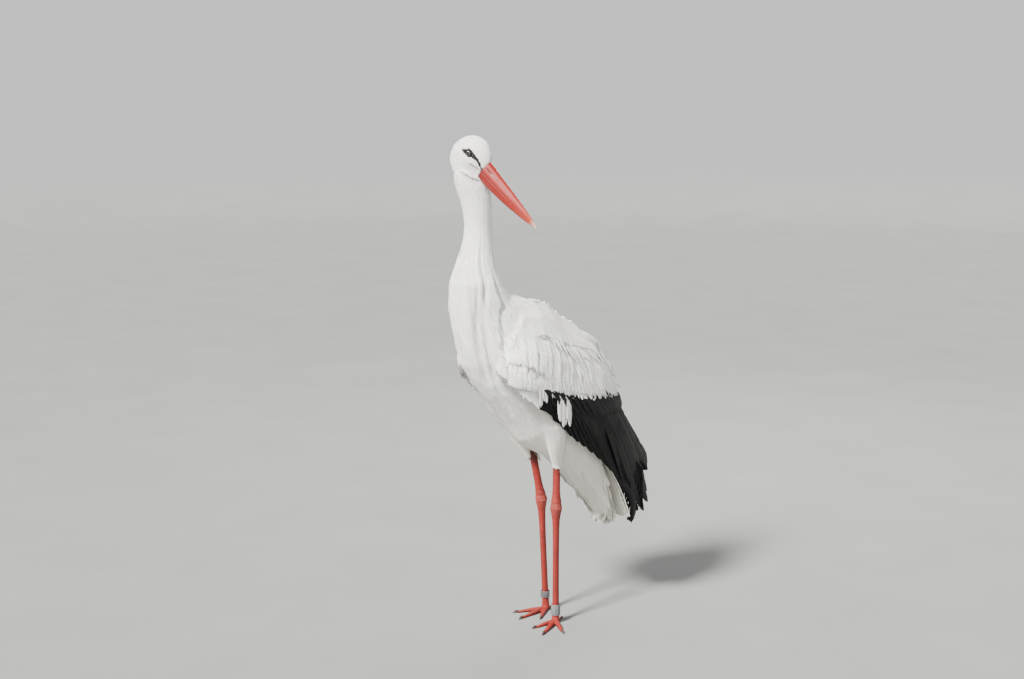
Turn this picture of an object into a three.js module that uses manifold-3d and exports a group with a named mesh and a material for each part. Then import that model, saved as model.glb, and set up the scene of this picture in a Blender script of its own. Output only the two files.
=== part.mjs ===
// A life-size white stork, Ciconia ciconia, standing upright at rest with its head turned to its left.
// Millimetres. +X is the bird's left, -Y its front and +Z up. The floor is at z = 0.
// Points of the body are written as (forward, left, up), measured from the floor between the feet.
import * as THREE from "three";
import { mergeVertices } from "three/addons/utils/BufferGeometryUtils.js";
import Module from "manifold-3d";

const wasm = await Module();
wasm.setup();

// ---------------------------------------------------------------- driving dimensions

const CUT = 0.3; // gap left between two pieces that meet
const SIMPLIFY = 0.16; // facets that are flat to within this are merged
const SIDES = { left: 1, right: -1 };

// Head, turned on the neck
const HEAD_CENTRE = [209.8, 0, 990.5]; // forward, left, up
const HEAD_YAW_DEG = 109; // from straight ahead towards the bird's left
const HEAD_PITCH_DEG = 42.2; // the bill points down
const BILL_LENGTH = 164; // from the forehead feathers to the tip
const BILL_BASE_WIDTH = 28;
const BILL_UPPER_DEPTH = 23.5;
const BILL_LOWER_DEPTH = 20;
const EYE_RADIUS = 8;
const EYE_AT = [2, 24.2, 9]; // ahead of, beside and above the head's centre

// Wings
const BLADE_THICKNESS = 1.4;
const WING_EDGE = 5; // how far the wing's edges stand off the trunk
const FLIGHT_STEP = 2.5; // how far the flight feathers lie under the coverts
const COVERT_EDGE = [
  [120, 520],
  [-136, 474],
]; // two points (forward, up) of the line where the white coverts end

// Tail, a fan that is arched across
const TAIL_ROOT = [-74, 0, 376];
const TAIL_END = [-174, 0, 191];
const TAIL_ROOT_HALF_WIDTH = 54;
const TAIL_END_HALF_WIDTH = 70;
const TAIL_THICKNESS = 5;
const TAIL_FEATHERS = 12;

// Legs
const RING_WALL = 1.4;
const LEG_SIDES = 12;

// ---------------------------------------------------------------- small helpers

const at = (forward, left, up) => new THREE.Vector3(left, -forward, up);
const lerp = THREE.MathUtils.lerp;
const rad = THREE.MathUtils.degToRad;
const X = new THREE.Vector3(1, 0, 0);
const Z = new THREE.Vector3(0, 0, 1);

// Values of a table of stations at u from 0 to 1, smooth through every row (Catmull-Rom).
function along(rows, u) {
  const x = THREE.MathUtils.clamp(u, 0, 1) * (rows.length - 1);
  const i = Math.min(Math.floor(x), rows.length - 2);
  const t = x - i;
  const row = (k) => rows[THREE.MathUtils.clamp(k, 0, rows.length - 1)];
  return rows[i].map((_, c) => {
    const [a, b, d, e] = [row(i - 1)[c], row(i)[c], row(i + 1)[c], row(i + 2)[c]];
    const [square, cube] = [2 * a - 5 * b + 4 * d - e, 3 * b - a - 3 * d + e];
    return 0.5 * (2 * b + (d - a) * t + square * t ** 2 + cube * t ** 3);
  });
}

// A closed skin over rings of equal length. Each end is closed by a zigzag between its two long sides.
function loft(rings) {
  const n = rings[0].length;
  const last = (rings.length - 1) * n;
  const faces = [];
  for (let r = 0; r + 1 < rings.length; r++) {
    for (let k = 0; k < n; k++) {
      const [a, b] = [r * n + k, r * n + ((k + 1) % n)];
      faces.push(a, b, a + n, b, b + n, a + n);
    }
  }
  const close = (a, b, c) => faces.push(b, a, c, last + a, last + b, last + c);
  for (let low = 0, high = n - 1; low + 1 < high; high--) {
    close(low, low + 1, high);
    low += 1;
    if (low + 1 < high) close(low, high - 1, high);
  }
  return solid(new THREE.BufferGeometry().setFromPoints(rings.flat()).setIndex(faces));
}

// A geometry as a manifold-3d solid that faces out.
function solid(geometry) {
  const g = geometry.clone();
  ["normal", "uv"].forEach((name) => g.deleteAttribute(name));
  const merged = mergeVertices(g, 1e-4);
  const vertProperties = new Float32Array(merged.attributes.position.array);
  const triVerts = new Uint32Array(merged.index.array);
  const made = new wasm.Manifold(new wasm.Mesh({ numProp: 3, vertProperties, triVerts }));
  if (made.volume() > 0) return made;
  for (let i = 0; i < triVerts.length; i += 3) {
    [triVerts[i + 1], triVerts[i + 2]] = [triVerts[i + 2], triVerts[i + 1]];
  }
  return new wasm.Manifold(new wasm.Mesh({ numProp: 3, vertProperties, triVerts }));
}

// A ring of n points round a centre, on two axes with their own half sizes.
function ringAt(centre, side, up, half, above, below, n) {
  return Array.from({ length: n }, (_, k) => {
    const angle = (2 * Math.PI * k) / n;
    const height = Math.sin(angle) > 0 ? above : below;
    return centre
      .clone()
      .addScaledVector(side, Math.cos(angle) * half)
      .addScaledVector(up, Math.sin(angle) * height);
  });
}

// The part of a solid on the side of a plane that its normal points to.
const keep = (made, normal, point) => made.trimByPlane(normal.toArray(), normal.dot(point));

// A solid parted by a plane, with half a cut taken from each part.
// The part that the normal points to comes first.
function part(made, normal, point) {
  const n = normal.clone().normalize();
  const half = n.clone().multiplyScalar(CUT / 2);
  return [
    keep(made, n, point.clone().add(half)),
    keep(made, n.clone().negate(), point.clone().sub(half)),
  ];
}

// ---------------------------------------------------------------- materials

const paint = (color, roughness) => new THREE.MeshStandardMaterial({ color, roughness, metalness: 0 });
const stork = new THREE.Group();

// Adds a solid as a named mesh: its one main body, with facets merged where they are flat.
function add(name, made, material) {
  const body = made.decompose().reduce((a, b) => (a.volume() > b.volume() ? a : b));
  const mesh = body.simplify(SIMPLIFY).getMesh();
  const positions = new Float32Array(mesh.numVert * 3);
  for (let i = 0; i < mesh.numVert; i++) {
    positions.set(mesh.vertProperties.subarray(i * mesh.numProp, i * mesh.numProp + 3), i * 3);
  }
  const geometry = new THREE.BufferGeometry();
  geometry.setAttribute("position", new THREE.BufferAttribute(positions, 3));
  geometry.setIndex(new THREE.BufferAttribute(mesh.triVerts, 1));
  geometry.computeVertexNormals();
  const piece = new THREE.Mesh(geometry, material);
  piece.name = name;
  stork.add(piece);
}

const white = () => paint(0xe9e6de, 0.85);
const black = () => paint(0x131211, 0.6);
const red = () => paint(0xb5402e, 0.62);
const billRed = () => paint(0xcf4632, 0.42);
const metal = (color) => new THREE.MeshStandardMaterial({ color, roughness: 0.45, metalness: 0.6 });

// ---------------------------------------------------------------- trunk and neck

// From the undertail coverts up through the breast to the nape:
// forward, up, half width, depth to the back and depth to the front.
const SPINE = [
  [-148, 212, 20, 5, 8],
  [-138, 232, 38, 9, 20],
  [-112, 284, 50, 10, 38],
  [-84, 338, 58, 26, 61],
  [-58, 402, 66, 66, 94],
  [-14, 468, 80, 98, 125],
  [42, 525, 86, 114, 118],
  [98, 577, 88, 118, 110],
  [140, 631, 81, 98, 107],
  [179, 684, 60, 57, 85],
  [201, 734, 54, 49, 58],
  [200, 786, 36.5, 35.5, 37.5],
  [196, 838, 28, 28, 28],
  [198.5, 890, 30, 30, 30],
  [207, 934, 33.5, 32, 33.5],
  [210, 958, 28, 26, 34],
  [210, 984, 18, 18, 20],
];
const NECK_LEAN = 9; // how far the top of the neck stands to the right, under the back of the turned head
const SPINE_RINGS = 30;
const SPINE_SIDES = 20;
const NECK_CUTS = [0.605, 0.745]; // along SPINE: trunk, lower neck, upper neck

// Centre, tangent and half sizes of the trunk and neck at u along SPINE.
function spineAt(u) {
  const [forward, up, half, back, front] = along(SPINE, u);
  const lean = -NECK_LEAN * THREE.MathUtils.smoothstep(up, 880, 965);
  const [f0, u0] = along(SPINE, u - 0.01);
  const [f1, u1] = along(SPINE, u + 0.01);
  return { centre: at(forward, lean, up), axis: at(f1 - f0, 0, u1 - u0).normalize(), half, back, front };
}

// The whole trunk and neck, larger all round by grow.
function spineSolid(grow) {
  const rings = Array.from({ length: SPINE_RINGS + 1 }, (_, i) => {
    const { centre, axis, half, back, front } = spineAt(i / SPINE_RINGS);
    const towardsBack = new THREE.Vector3().crossVectors(axis, X).normalize();
    return ringAt(centre, X, towardsBack, half + grow, back + grow, front + grow, SPINE_SIDES);
  });
  rings[0].forEach((p) => p.addScaledVector(spineAt(0).axis, -grow));
  return loft(rings);
}

// ---------------------------------------------------------------- head

const headPlace = new THREE.Matrix4()
  .makeTranslation(...at(...HEAD_CENTRE).toArray())
  .multiply(new THREE.Matrix4().makeRotationZ(rad(HEAD_YAW_DEG)))
  .multiply(new THREE.Matrix4().makeRotationX(rad(HEAD_PITCH_DEG)));

// A point of the head from its own (ahead, left, above), before the head is turned.
const onHead = (ahead, left, above) => at(ahead, left, above).applyMatrix4(headPlace);

// From the back of the head to the edge of the bill: ahead, above, half width, depth up, depth down.
const HEAD = [
  [-40, -11, 12, 9, 11],
  [-36, -8, 19, 23, 30],
  [-25, -5, 28.5, 34.5, 43],
  [-11, -5, 32, 42.5, 49],
  [6, -4.5, 31.5, 43.5, 47],
  [21, -3.5, 26, 38, 39.5],
  [33, -3.5, 20, 31.5, 31],
  [42, -6, 16, 24, 22],
];
const HEAD_RINGS = 11;
const HEAD_SIDES = 16;

function headSolid(grow) {
  const rings = Array.from({ length: HEAD_RINGS + 1 }, (_, i) => {
    const [ahead, above, half, up, down] = along(HEAD, i / HEAD_RINGS);
    const reach = ahead + grow * ((2 * i) / HEAD_RINGS - 1);
    return ringAt(at(reach, 0, above), X, Z, half + grow, up + grow, down + grow, HEAD_SIDES).map((p) =>
      p.applyMatrix4(headPlace),
    );
  });
  return loft(rings);
}

function eyeSolid(dir, grow) {
  const [ahead, beside, above] = EYE_AT;
  const centre = onHead(ahead, dir * beside, above);
  return solid(new THREE.SphereGeometry(EYE_RADIUS + grow, 10, 7).translate(...centre.toArray()));
}

// ---------------------------------------------------------------- bill

// Share of the bill's length, share of the base width, of the upper depth and of the lower depth.
const BILL = [
  [-0.16, 0.95, 0.95, 0.9],
  [0, 1, 1, 1],
  [0.2, 0.86, 0.86, 0.95],
  [0.45, 0.66, 0.68, 0.82],
  [0.7, 0.43, 0.47, 0.56],
  [0.88, 0.22, 0.27, 0.3],
  [1, 0.05, 0.06, 0.05],
];
const BILL_RINGS = 16;
const BILL_SIDES = 16;
const BILL_FROM = 36; // ahead of the head's centre
const BILL_DROP = -5; // the line of the mouth, above the head's centre

// One mandible: the upper has dir 1 and the lower dir -1. Its flat face lies along the mouth.
function mandible(dir, depth) {
  const rings = Array.from({ length: BILL_RINGS + 1 }, (_, i) => {
    const [share, width, upper, lower] = along(BILL, i / BILL_RINGS);
    const half = (BILL_BASE_WIDTH / 2) * width;
    const height = depth * (dir > 0 ? upper : lower);
    return Array.from({ length: BILL_SIDES / 2 + 1 }, (_, k) => {
      const angle = (2 * Math.PI * k) / BILL_SIDES;
      return onHead(
        BILL_FROM + share * BILL_LENGTH,
        Math.cos(angle) * half,
        BILL_DROP + dir * (CUT / 2 + Math.sin(angle) * height),
      );
    });
  });
  return loft(rings);
}

// ---------------------------------------------------------------- wings

// A folded wing seen from the side, from wrist to tip: its belly edge and back edge as (forward, up),
// how far out the surface lies at the belly edge, in the middle and at the back edge, and the thickness.
const WING = [
  [198, 560, 190, 600, 58, 70, 54, 12],
  [178, 532, 154, 654, 78, 94, 52, 24],
  [146, 503, 112, 700, 90, 104, 34, 30],
  [100, 470, 50, 694, 94, 108, 22, 32],
  [52, 436, -18, 652, 92, 107, 12, 32],
  [6, 405, -92, 611, 88, 104, 6, 30],
  [-42, 372, -149, 545, 82, 95, 4, 24],
  [-97, 336, -173, 470, 70, 82, 6, 14],
  [-141, 298, -177, 404, 62, 68, 14, 9],
  [-166, 262, -188, 350, 56, 58, 22, 6],
];
const WING_RINGS = 14;
const WING_ACROSS = 7;

// Half width of the trunk at a place seen from the side, or 0 outside it.
const SPINE_SAMPLES = Array.from({ length: 90 }, (_, i) => spineAt(i / 89));
function trunkHalfAt(forward, up) {
  const p = at(forward, 0, up);
  const off = ({ centre, axis }) => Math.abs(p.clone().sub(centre).dot(axis));
  const near = SPINE_SAMPLES.filter(({ centre }) => centre.distanceTo(p) < 130);
  if (!near.length) return 0;
  const { centre, axis, half, back, front } = near.reduce((a, b) => (off(a) < off(b) ? a : b));
  const depth = new THREE.Vector3().crossVectors(axis, X).normalize().dot(p.clone().sub(centre));
  const share = depth / (depth > 0 ? back : front);
  return half * Math.sqrt(Math.max(1 - share * share, 0));
}

// The wing's outer surface: s from wrist to tip, t from belly edge to back edge, inset towards the body.
// It lies at least a little outside the trunk, so that its edge shows all round.
function wingPoint(dir, s, t, inset) {
  const [fv, uv, fd, ud, low, middle, high] = along(WING, s);
  const bow = 2 * (1 - t) * (0.5 - t) * low + 4 * t * (1 - t) * middle + 2 * t * (t - 0.5) * high;
  const [forward, up] = [lerp(fv, fd, t), lerp(uv, ud, t)];
  const over = trunkHalfAt(forward, up) + WING_EDGE;
  return at(forward, dir * (Math.max(bow, over, 3) - inset), up);
}

// The folded wing as a lens: its outer surface and one further in, closed along both edges.
function wingLens(dir, step) {
  const rings = Array.from({ length: WING_RINGS + 1 }, (_, i) => {
    const s = i / WING_RINGS;
    const thickness = along(WING, s)[7] - step;
    const steps = Array.from({ length: WING_ACROSS }, (_, k) => k / (WING_ACROSS - 1));
    const outer = steps.map((t) => wingPoint(dir, s, t, step));
    const inner = steps
      .slice(1, -1)
      .reverse()
      .map((t) => wingPoint(dir, s, t, step + thickness * Math.sqrt(Math.sin(Math.PI * t))));
    return [...outer, ...inner];
  });
  return loft(rings);
}

// Flight feathers whose tips pass the lens: forward, left and up of the tip, width,
// and the s and t of the place on the lens where each starts.
const FLIGHT_TIPS = [
  [-184, 53, 186, 30, 0.8, 0.16],
  [-206, 52, 208, 32, 0.76, 0.3],
  [-234, 49, 205, 34, 0.74, 0.4],
  [-245, 45, 235, 34, 0.72, 0.44],
  [-218, 44, 268, 34, 0.72, 0.47],
  [-252, 34, 290, 34, 0.72, 0.46],
  [-256, 29, 308, 32, 0.71, 0.45],
  [-248, 24, 328, 24, 0.7, 0.44],
  [-226, 20, 350, 18, 0.71, 0.44],
  [-199, 16, 378, 12, 0.71, 0.48],
];
// One long feather as a thin leaf from base to tip, facing out.
function blade(base, tip, out, width) {
  const axis = tip.clone().sub(base);
  const length = axis.length();
  axis.normalize();
  const across = new THREE.Vector3().crossVectors(out, axis).normalize();
  const face = new THREE.Vector3().crossVectors(axis, across).normalize();
  const outline = [
    [0, 0.35],
    [0.3, 0.5],
    [0.8, 0.5],
    [0.93, 0.36],
  ];
  const corners = [
    ...outline.map(([x, w]) => new THREE.Vector2(x * length, w * width)),
    new THREE.Vector2(length, 0),
    ...outline.reverse().map(([x, w]) => new THREE.Vector2(x * length, -w * width)),
  ];
  const size = { depth: BLADE_THICKNESS, bevelEnabled: false };
  const leaf = new THREE.ExtrudeGeometry(new THREE.Shape(corners), size);
  return solid(leaf.applyMatrix4(new THREE.Matrix4().makeBasis(axis, across, face).setPosition(base)));
}

function wingSolids(dir) {
  const [a, b] = COVERT_EDGE.map(([forward, up]) => at(forward, 0, up));
  const normal = new THREE.Vector3().crossVectors(X, b.clone().sub(a)).normalize();
  if (normal.z < 0) normal.negate();
  const [coverts] = part(wingLens(dir, 0), normal, a);
  const [, below] = part(wingLens(dir, FLIGHT_STEP), normal, a);
  const blades = FLIGHT_TIPS.map(([forward, left, up, width, s, t]) => {
    const base = wingPoint(dir, s, t, FLIGHT_STEP + 4);
    return blade(base, at(forward, dir * left, up), new THREE.Vector3(dir, 0.15, 0.25), width);
  });
  const flight = [below, ...blades].reduce((sum, one) => sum.add(one));
  return [coverts, part(flight, normal, a)[1]];
}

// ---------------------------------------------------------------- tail

function tailSolid(grow) {
  const root = at(...TAIL_ROOT);
  const end = at(...TAIL_END);
  const axis = end.clone().sub(root).normalize();
  const back = new THREE.Vector3().crossVectors(X, axis).normalize();
  const across = TAIL_FEATHERS * 2;
  const [rows, arch] = [5, 12];
  const length = root.distanceTo(end);
  const sheet = (v, depth) =>
    Array.from({ length: across + 1 }, (_, k) => {
      const x = (2 * k) / across - 1;
      const half = lerp(TAIL_ROOT_HALF_WIDTH, TAIL_END_HALF_WIDTH, v) + grow;
      const tip = k % 2 ? 0 : -7 * v; // each feather ends in a rounded point
      const reach = v * (length - 18 * x * x * v) + tip + grow * (2 * v - 1);
      return root
        .clone()
        .addScaledVector(axis, reach)
        .addScaledVector(X, x * half)
        .addScaledVector(back, arch * (1 - x * x) - depth);
    });
  const rings = Array.from({ length: rows + 1 }, (_, i) => {
    const v = i / rows;
    return [...sheet(v, -grow), ...sheet(v, TAIL_THICKNESS * (1 - 0.45 * v) + grow).reverse()];
  });
  return loft(rings);
}

// ---------------------------------------------------------------- legs

// Places of each leg as (forward, left, up): the hock, a point of the bare shank above it, and the foot.
const LEGS = {
  left: { shank: [20, 39, 340], hock: [20, 38, 251], foot: [20, 38, 8], toeOut: 30 },
  right: { shank: [18, -40, 356], hock: [-4, -37, 253], foot: [-18, -37, 8], toeOut: -8 },
};

// The feathered thigh from the flank down: forward, left, up, half size across, half size fore and aft.
const THIGHS = {
  left: [
    [74, 42, 500, 18, 22],
    [56, 58, 456, 32, 28],
    [43, 58, 425, 28, 24],
    [34, 53, 398, 22, 21],
    [26, 46, 372, 15.5, 17],
    [19, 40, 348, 10.5, 12],
    [19, 39, 336, 8.8, 9.6],
  ],
  right: [
    [104, -46, 512, 22, 44],
    [76, -54, 468, 33, 42],
    [59, -57, 434, 28, 33],
    [48, -55, 406, 21, 24],
    [39, -53, 382, 15, 18],
    [29, -49, 361, 11, 12],
    [22, -46, 344, 7, 7.5],
  ],
};

// A round limb along points, each with its own half sizes [across, fore and aft].
function limb(points, radii, sides) {
  const rings = points.map((p, i) => {
    const before = points[Math.max(i - 1, 0)];
    const after = points[Math.min(i + 1, points.length - 1)];
    const axis = after.clone().sub(before).normalize();
    const side = X.clone().addScaledVector(axis, -axis.x).normalize();
    const up = new THREE.Vector3().crossVectors(axis, side).normalize();
    return ringAt(p, side, up, radii[i][0], radii[i][1], radii[i][1], sides);
  });
  return loft(rings);
}

// Height above the floor, half size across, half size fore and aft, for the bare leg from the foot up.
const BARE_LEG = [
  [6, 8.5, 8.5],
  [20, 7, 7.6],
  [60, 6, 7],
  [150, 5.8, 6.8],
  [215, 6.6, 7.6],
  [236, 9.2, 10],
  [251, 11, 12.4],
  [264, 10.2, 11.4],
  [280, 7.6, 8.6],
  [310, 7, 8],
  [350, 7.2, 8.4],
  [400, 7.6, 9],
];
const LEG_RINGS = 20;
const FOOT_TOP = 15; // height of the cut above the foot

function bareLeg({ foot, hock, shank }) {
  const rows = Array.from({ length: LEG_RINGS + 1 }, (_, i) => along(BARE_LEG, i / LEG_RINGS));
  const points = rows.map(([up]) => {
    const [from, to] = up <= hock[2] ? [foot, hock] : [hock, shank];
    const t = (up - from[2]) / (to[2] - from[2]);
    return at(lerp(from[0], to[0], t), lerp(from[1], to[1], t), up);
  });
  return limb(points, rows.map(([, a, b]) => [a, b]), LEG_SIDES);
}

function thighSolid(rows, grow) {
  const count = 8;
  const smooth = Array.from({ length: count + 1 }, (_, i) => along(rows, i / count));
  const points = smooth.map(([forward, left, up]) => at(forward, left, up));
  return limb(points, smooth.map((row) => [row[3] + grow, row[4] + grow]), 14);
}

// Toes: angle from straight ahead towards the outer side, length without the claw, and radius at the base.
const TOES = {
  inner: { angle: -30, length: 56, radius: 6.2 },
  middle: { angle: 0, length: 77, radius: 6.8 },
  outer: { angle: 31, length: 64, radius: 6.2 },
  hind: { angle: 172, length: 26, radius: 5 },
};
const TOE_SINK = 0.7; // each toe is cut flat this far up its round underside
const CLAW_LENGTH = 11;
const WEB_REACH = 26; // how far the skin between the front toes reaches

// A point of a foot: along a toe's direction, at a height.
function onFoot({ foot, toeOut }, dir, angle, reach, up) {
  const turn = rad(toeOut + angle);
  return at(foot[0] + Math.cos(turn) * reach, foot[1] + dir * Math.sin(turn) * reach, up);
}

function toeSolid(leg, dir, { angle, length, radius }) {
  const steps = 5;
  const radii = Array.from({ length: steps + 1 }, (_, i) => {
    const t = i / steps;
    const joint = 0.5 * Math.cos(t * Math.PI * 6);
    return Math.max(lerp(radius, radius * 0.58, t) + joint, 2.5) * (i === steps ? 0.72 : 1);
  });
  const points = radii.map((r, i) => onFoot(leg, dir, angle, (length * i) / steps, r * 0.86 - TOE_SINK));
  const rings = points.map((p, i) => {
    const axis = points[Math.min(i + 1, steps)].clone().sub(points[Math.max(i - 1, 0)]).normalize();
    const side = new THREE.Vector3().crossVectors(Z, axis).normalize();
    return ringAt(p, side, Z, radii[i], radii[i] * 0.86, radii[i] * 0.86, 7);
  });
  return loft(rings);
}

// The skin between two front toes.
function webSolid(leg, dir, from, to) {
  const corners = [[0, 0], [from, WEB_REACH], [(from + to) / 2, WEB_REACH * 0.8], [to, WEB_REACH]];
  const plan = corners.map(([angle, reach]) => {
    const p = onFoot(leg, dir, angle, reach, 0);
    return new THREE.Vector2(p.x, p.y);
  });
  const sheet = new THREE.ExtrudeGeometry(new THREE.Shape(plan), { depth: 3, bevelEnabled: false });
  return solid(sheet.translate(0, 0, 1.5));
}

// A blunt claw ahead of a toe's end, bent down a little.
function clawSolid(leg, dir, { angle, length, radius }) {
  const steps = 3;
  const size = radius * 0.46;
  const rings = Array.from({ length: steps + 1 }, (_, i) => {
    const t = i / steps;
    const r = size * (1 - 0.82 * t * t);
    const centre = onFoot(leg, dir, angle, length + CUT + CLAW_LENGTH * t, lerp(size + 0.8, r + 0.5, t));
    const side = onFoot(leg, dir, angle + 90, 1, 0).sub(onFoot(leg, dir, angle, 0, 0)).normalize();
    return ringAt(centre, side, Z, r * 0.85, r, r, 6);
  });
  return loft(rings);
}

function legSolids(side, dir) {
  const leg = LEGS[side];
  const toes = Object.values(TOES).map((toe) => toeSolid(leg, dir, toe));
  const webs = [
    webSolid(leg, dir, TOES.inner.angle, TOES.middle.angle),
    webSolid(leg, dir, TOES.middle.angle, TOES.outer.angle),
  ];
  const [upper, low] = part(bareLeg(leg), Z, at(0, 0, FOOT_TOP));
  const foot = keep([low, ...toes, ...webs].reduce((sum, one) => sum.add(one)), Z, at(0, 0, 0));
  const [shank, tarsus] = part(upper, Z, at(...leg.hock));
  return { foot, tarsus, shank: shank.subtract(thighSolid(THIGHS[side], CUT)).subtract(trunkGrown) };
}

// A ring round the tarsus between two heights.
const LEG_RINGS_WORN = {
  left: { from: 18, to: 41, color: 0xb9c0c2 },
  right: { from: 31, to: 45, color: 0x9aa0a4 },
};

function ringSolid({ foot, hock }, { from, to }) {
  const middle = (from + to) / 2;
  const t = (middle - foot[2]) / (hock[2] - foot[2]);
  const [, across, fore] = along(BARE_LEG, 0.11);
  const inner = Math.max(across, fore) + 1;
  const centre = at(lerp(foot[0], hock[0], t), lerp(foot[1], hock[1], t), middle);
  const tube = (radius, height) => {
    const upright = new THREE.CylinderGeometry(radius, radius, height, 16).rotateX(Math.PI / 2);
    return solid(upright.translate(...centre.toArray()));
  };
  return tube(inner + RING_WALL, to - from).subtract(tube(inner, to - from + 10));
}

// ---------------------------------------------------------------- assembly

const trunkGrown = spineSolid(CUT);
const tailGrown = tailSolid(CUT);
const head = headSolid(0);
const headGrown = headSolid(CUT);

const [lowCut, highCut] = NECK_CUTS.map((u) => spineAt(u));
const [necks, trunk] = part(spineSolid(0).subtract(headGrown), lowCut.axis, lowCut.centre);
const [neckUpper, neckLower] = part(necks, highCut.axis, highCut.centre);
const sockets = Object.values(SIDES).map((dir) => eyeSolid(dir, CUT));
add("head", head.subtract(sockets[0]).subtract(sockets[1]), white());
add("neck_upper", neckUpper, white());
add("neck_lower", neckLower, white());
add("trunk", trunk.subtract(tailGrown), white());
add("bill_upper", mandible(1, BILL_UPPER_DEPTH).subtract(headGrown).subtract(trunkGrown), billRed());
add("bill_lower", mandible(-1, BILL_LOWER_DEPTH).subtract(headGrown).subtract(trunkGrown), billRed());
add("tail", tailSolid(0), white());
Object.entries(SIDES).forEach(([side, dir]) => {
  const thighGrown = thighSolid(THIGHS[side], CUT);
  const [coverts, flight] = wingSolids(dir).map((one) =>
    one.subtract(trunkGrown).subtract(tailGrown).subtract(thighGrown),
  );
  add(`wing_${side}_coverts`, coverts, white());
  add(`wing_${side}_flight`, flight, black());
  add(`eye_${side}`, eyeSolid(dir, 0), paint(0x0d0a09, 0.12));
  add(`thigh_${side}`, thighSolid(THIGHS[side], 0).subtract(trunkGrown), white());
  const { foot, tarsus, shank } = legSolids(side, dir);
  add(`shank_${side}`, shank, red());
  add(`tarsus_${side}`, tarsus, red());
  add(`foot_${side}`, foot, red());
  Object.entries(TOES).forEach(([name, toe]) => {
    add(`claw_${side}_${name}`, clawSolid(LEGS[side], dir, toe), paint(0x4a2f28, 0.45));
  });
  add(`leg_ring_${side}`, ringSolid(LEGS[side], LEG_RINGS_WORN[side]), metal(LEG_RINGS_WORN[side].color));
});

// The origin is the middle of the bounding box at its base, so the soles lie at z = 0.
const box = new THREE.Box3().setFromObject(stork);
const middle = box.getCenter(new THREE.Vector3());
stork.children.forEach((piece) => piece.geometry.translate(-middle.x, -middle.y, -box.min.z));

export default stork;
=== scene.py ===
"""A life-size white stork, standing at rest with its head turned to its left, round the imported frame.

Points of the bird are (forward, left, up) in millimetres from the floor between its feet.
The frame has +X to the bird's left, -Y to its front and +Z up, in metres.
"""
import math

import bpy
import numpy as np
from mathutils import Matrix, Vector
from mathutils.bvhtree import BVHTree


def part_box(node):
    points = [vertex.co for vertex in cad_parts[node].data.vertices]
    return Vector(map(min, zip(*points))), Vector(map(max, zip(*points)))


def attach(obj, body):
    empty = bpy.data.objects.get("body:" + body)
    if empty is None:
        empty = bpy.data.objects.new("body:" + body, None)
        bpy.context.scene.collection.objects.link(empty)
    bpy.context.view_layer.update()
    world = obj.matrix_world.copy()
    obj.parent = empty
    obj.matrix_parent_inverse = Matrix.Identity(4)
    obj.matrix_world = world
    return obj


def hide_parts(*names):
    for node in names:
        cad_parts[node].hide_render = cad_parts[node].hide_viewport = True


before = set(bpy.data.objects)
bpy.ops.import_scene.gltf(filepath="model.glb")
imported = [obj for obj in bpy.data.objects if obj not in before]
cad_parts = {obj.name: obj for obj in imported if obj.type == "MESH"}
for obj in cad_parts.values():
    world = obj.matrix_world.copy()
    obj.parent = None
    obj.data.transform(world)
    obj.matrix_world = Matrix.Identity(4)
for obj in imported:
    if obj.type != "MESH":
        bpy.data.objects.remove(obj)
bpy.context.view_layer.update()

MM = 0.001
ROUND = 2 * math.pi
RNG = np.random.default_rng(11)
SIDES = {"left": 1, "right": -1}
# Forward and left of each foot, in the same place as its leg ring, and degrees of toe-out
FEET = {"left": (20, 38, 30), "right": (-18, -37, -8)}

# ------------------------------------------------------------------ places on the bird

ring_low, ring_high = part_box("leg_ring_left")
ORIGIN = np.array([(ring_low.x + ring_high.x) / 2 - FEET["left"][1] * MM,
                   (ring_low.y + ring_high.y) / 2 + FEET["left"][0] * MM, 0])


def together(*parts):
    """Numbers or arrays side by side, as columns."""
    return np.stack(np.broadcast_arrays(*(np.asarray(v, float) for v in parts)), -1)


def at(forward, left, up):
    """Points in the frame, in metres, from millimetres of the bird."""
    return together(left, -np.asarray(forward), up) * MM + ORIGIN


def bird(points):
    """forward, left and up in millimetres, from points in the frame."""
    p = (np.asarray(points) - ORIGIN) / MM
    return -p[..., 1], p[..., 0], p[..., 2]


def one_side(points):
    """Bird points with the right side laid on the left."""
    forward, left, up = bird(points)
    return together(forward, np.abs(left), up)


def unit(v):
    return v / np.maximum(np.linalg.norm(v, axis=-1, keepdims=True), 1e-12)


def smooth(x, low, high):
    """0 below low and 1 above high, with a smooth step between."""
    t = np.clip((np.asarray(x, float) - low) / (high - low), 0, 1)
    return t * t * (3 - 2 * t)


def fall(x, low, high):
    """1 below low and 0 above high."""
    return 1 - smooth(x, low, high)


def bell(x, width):
    """1 at x = 0, and near 0 beyond twice the width."""
    return np.exp(-((x / width) ** 2))


def ripple(x, seed):
    """A smooth random function of x, from -1 to 1, that changes about once for each unit of x."""
    rng = np.random.default_rng(seed)
    total = np.zeros_like(x)
    for rate in (0.61, 1.0, 1.7):
        total += np.sin(x * rate * ROUND + rng.uniform(0, 6.28)) / 3
    return total


def curve(rows, count):
    """A smooth curve through rows of numbers, sampled count times (Catmull-Rom)."""
    rows = np.asarray(rows, float)
    x = np.linspace(0, len(rows) - 1, count)
    i = np.minimum(x.astype(int), len(rows) - 2)
    t = (x - i)[:, None]
    a, b, c, d = (rows[np.clip(i + k, 0, len(rows) - 1)] for k in (-1, 0, 1, 2))
    return 0.5 * (2 * b + (c - a) * t + (2 * a - 5 * b + 4 * c - d) * t**2 + (3 * b - a - 3 * c + d) * t**3)


# The head's own axes, turned on the neck
HEAD_CENTRE = at(209.8, 0, 990.5)
HEAD_YAW = math.radians(109)
HEAD_PITCH = math.radians(42.2)
HEAD_REACH = 62  # nothing farther than this from its centre belongs to the head
FACE_REACH = 60  # nor to the marks on its sides


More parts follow.
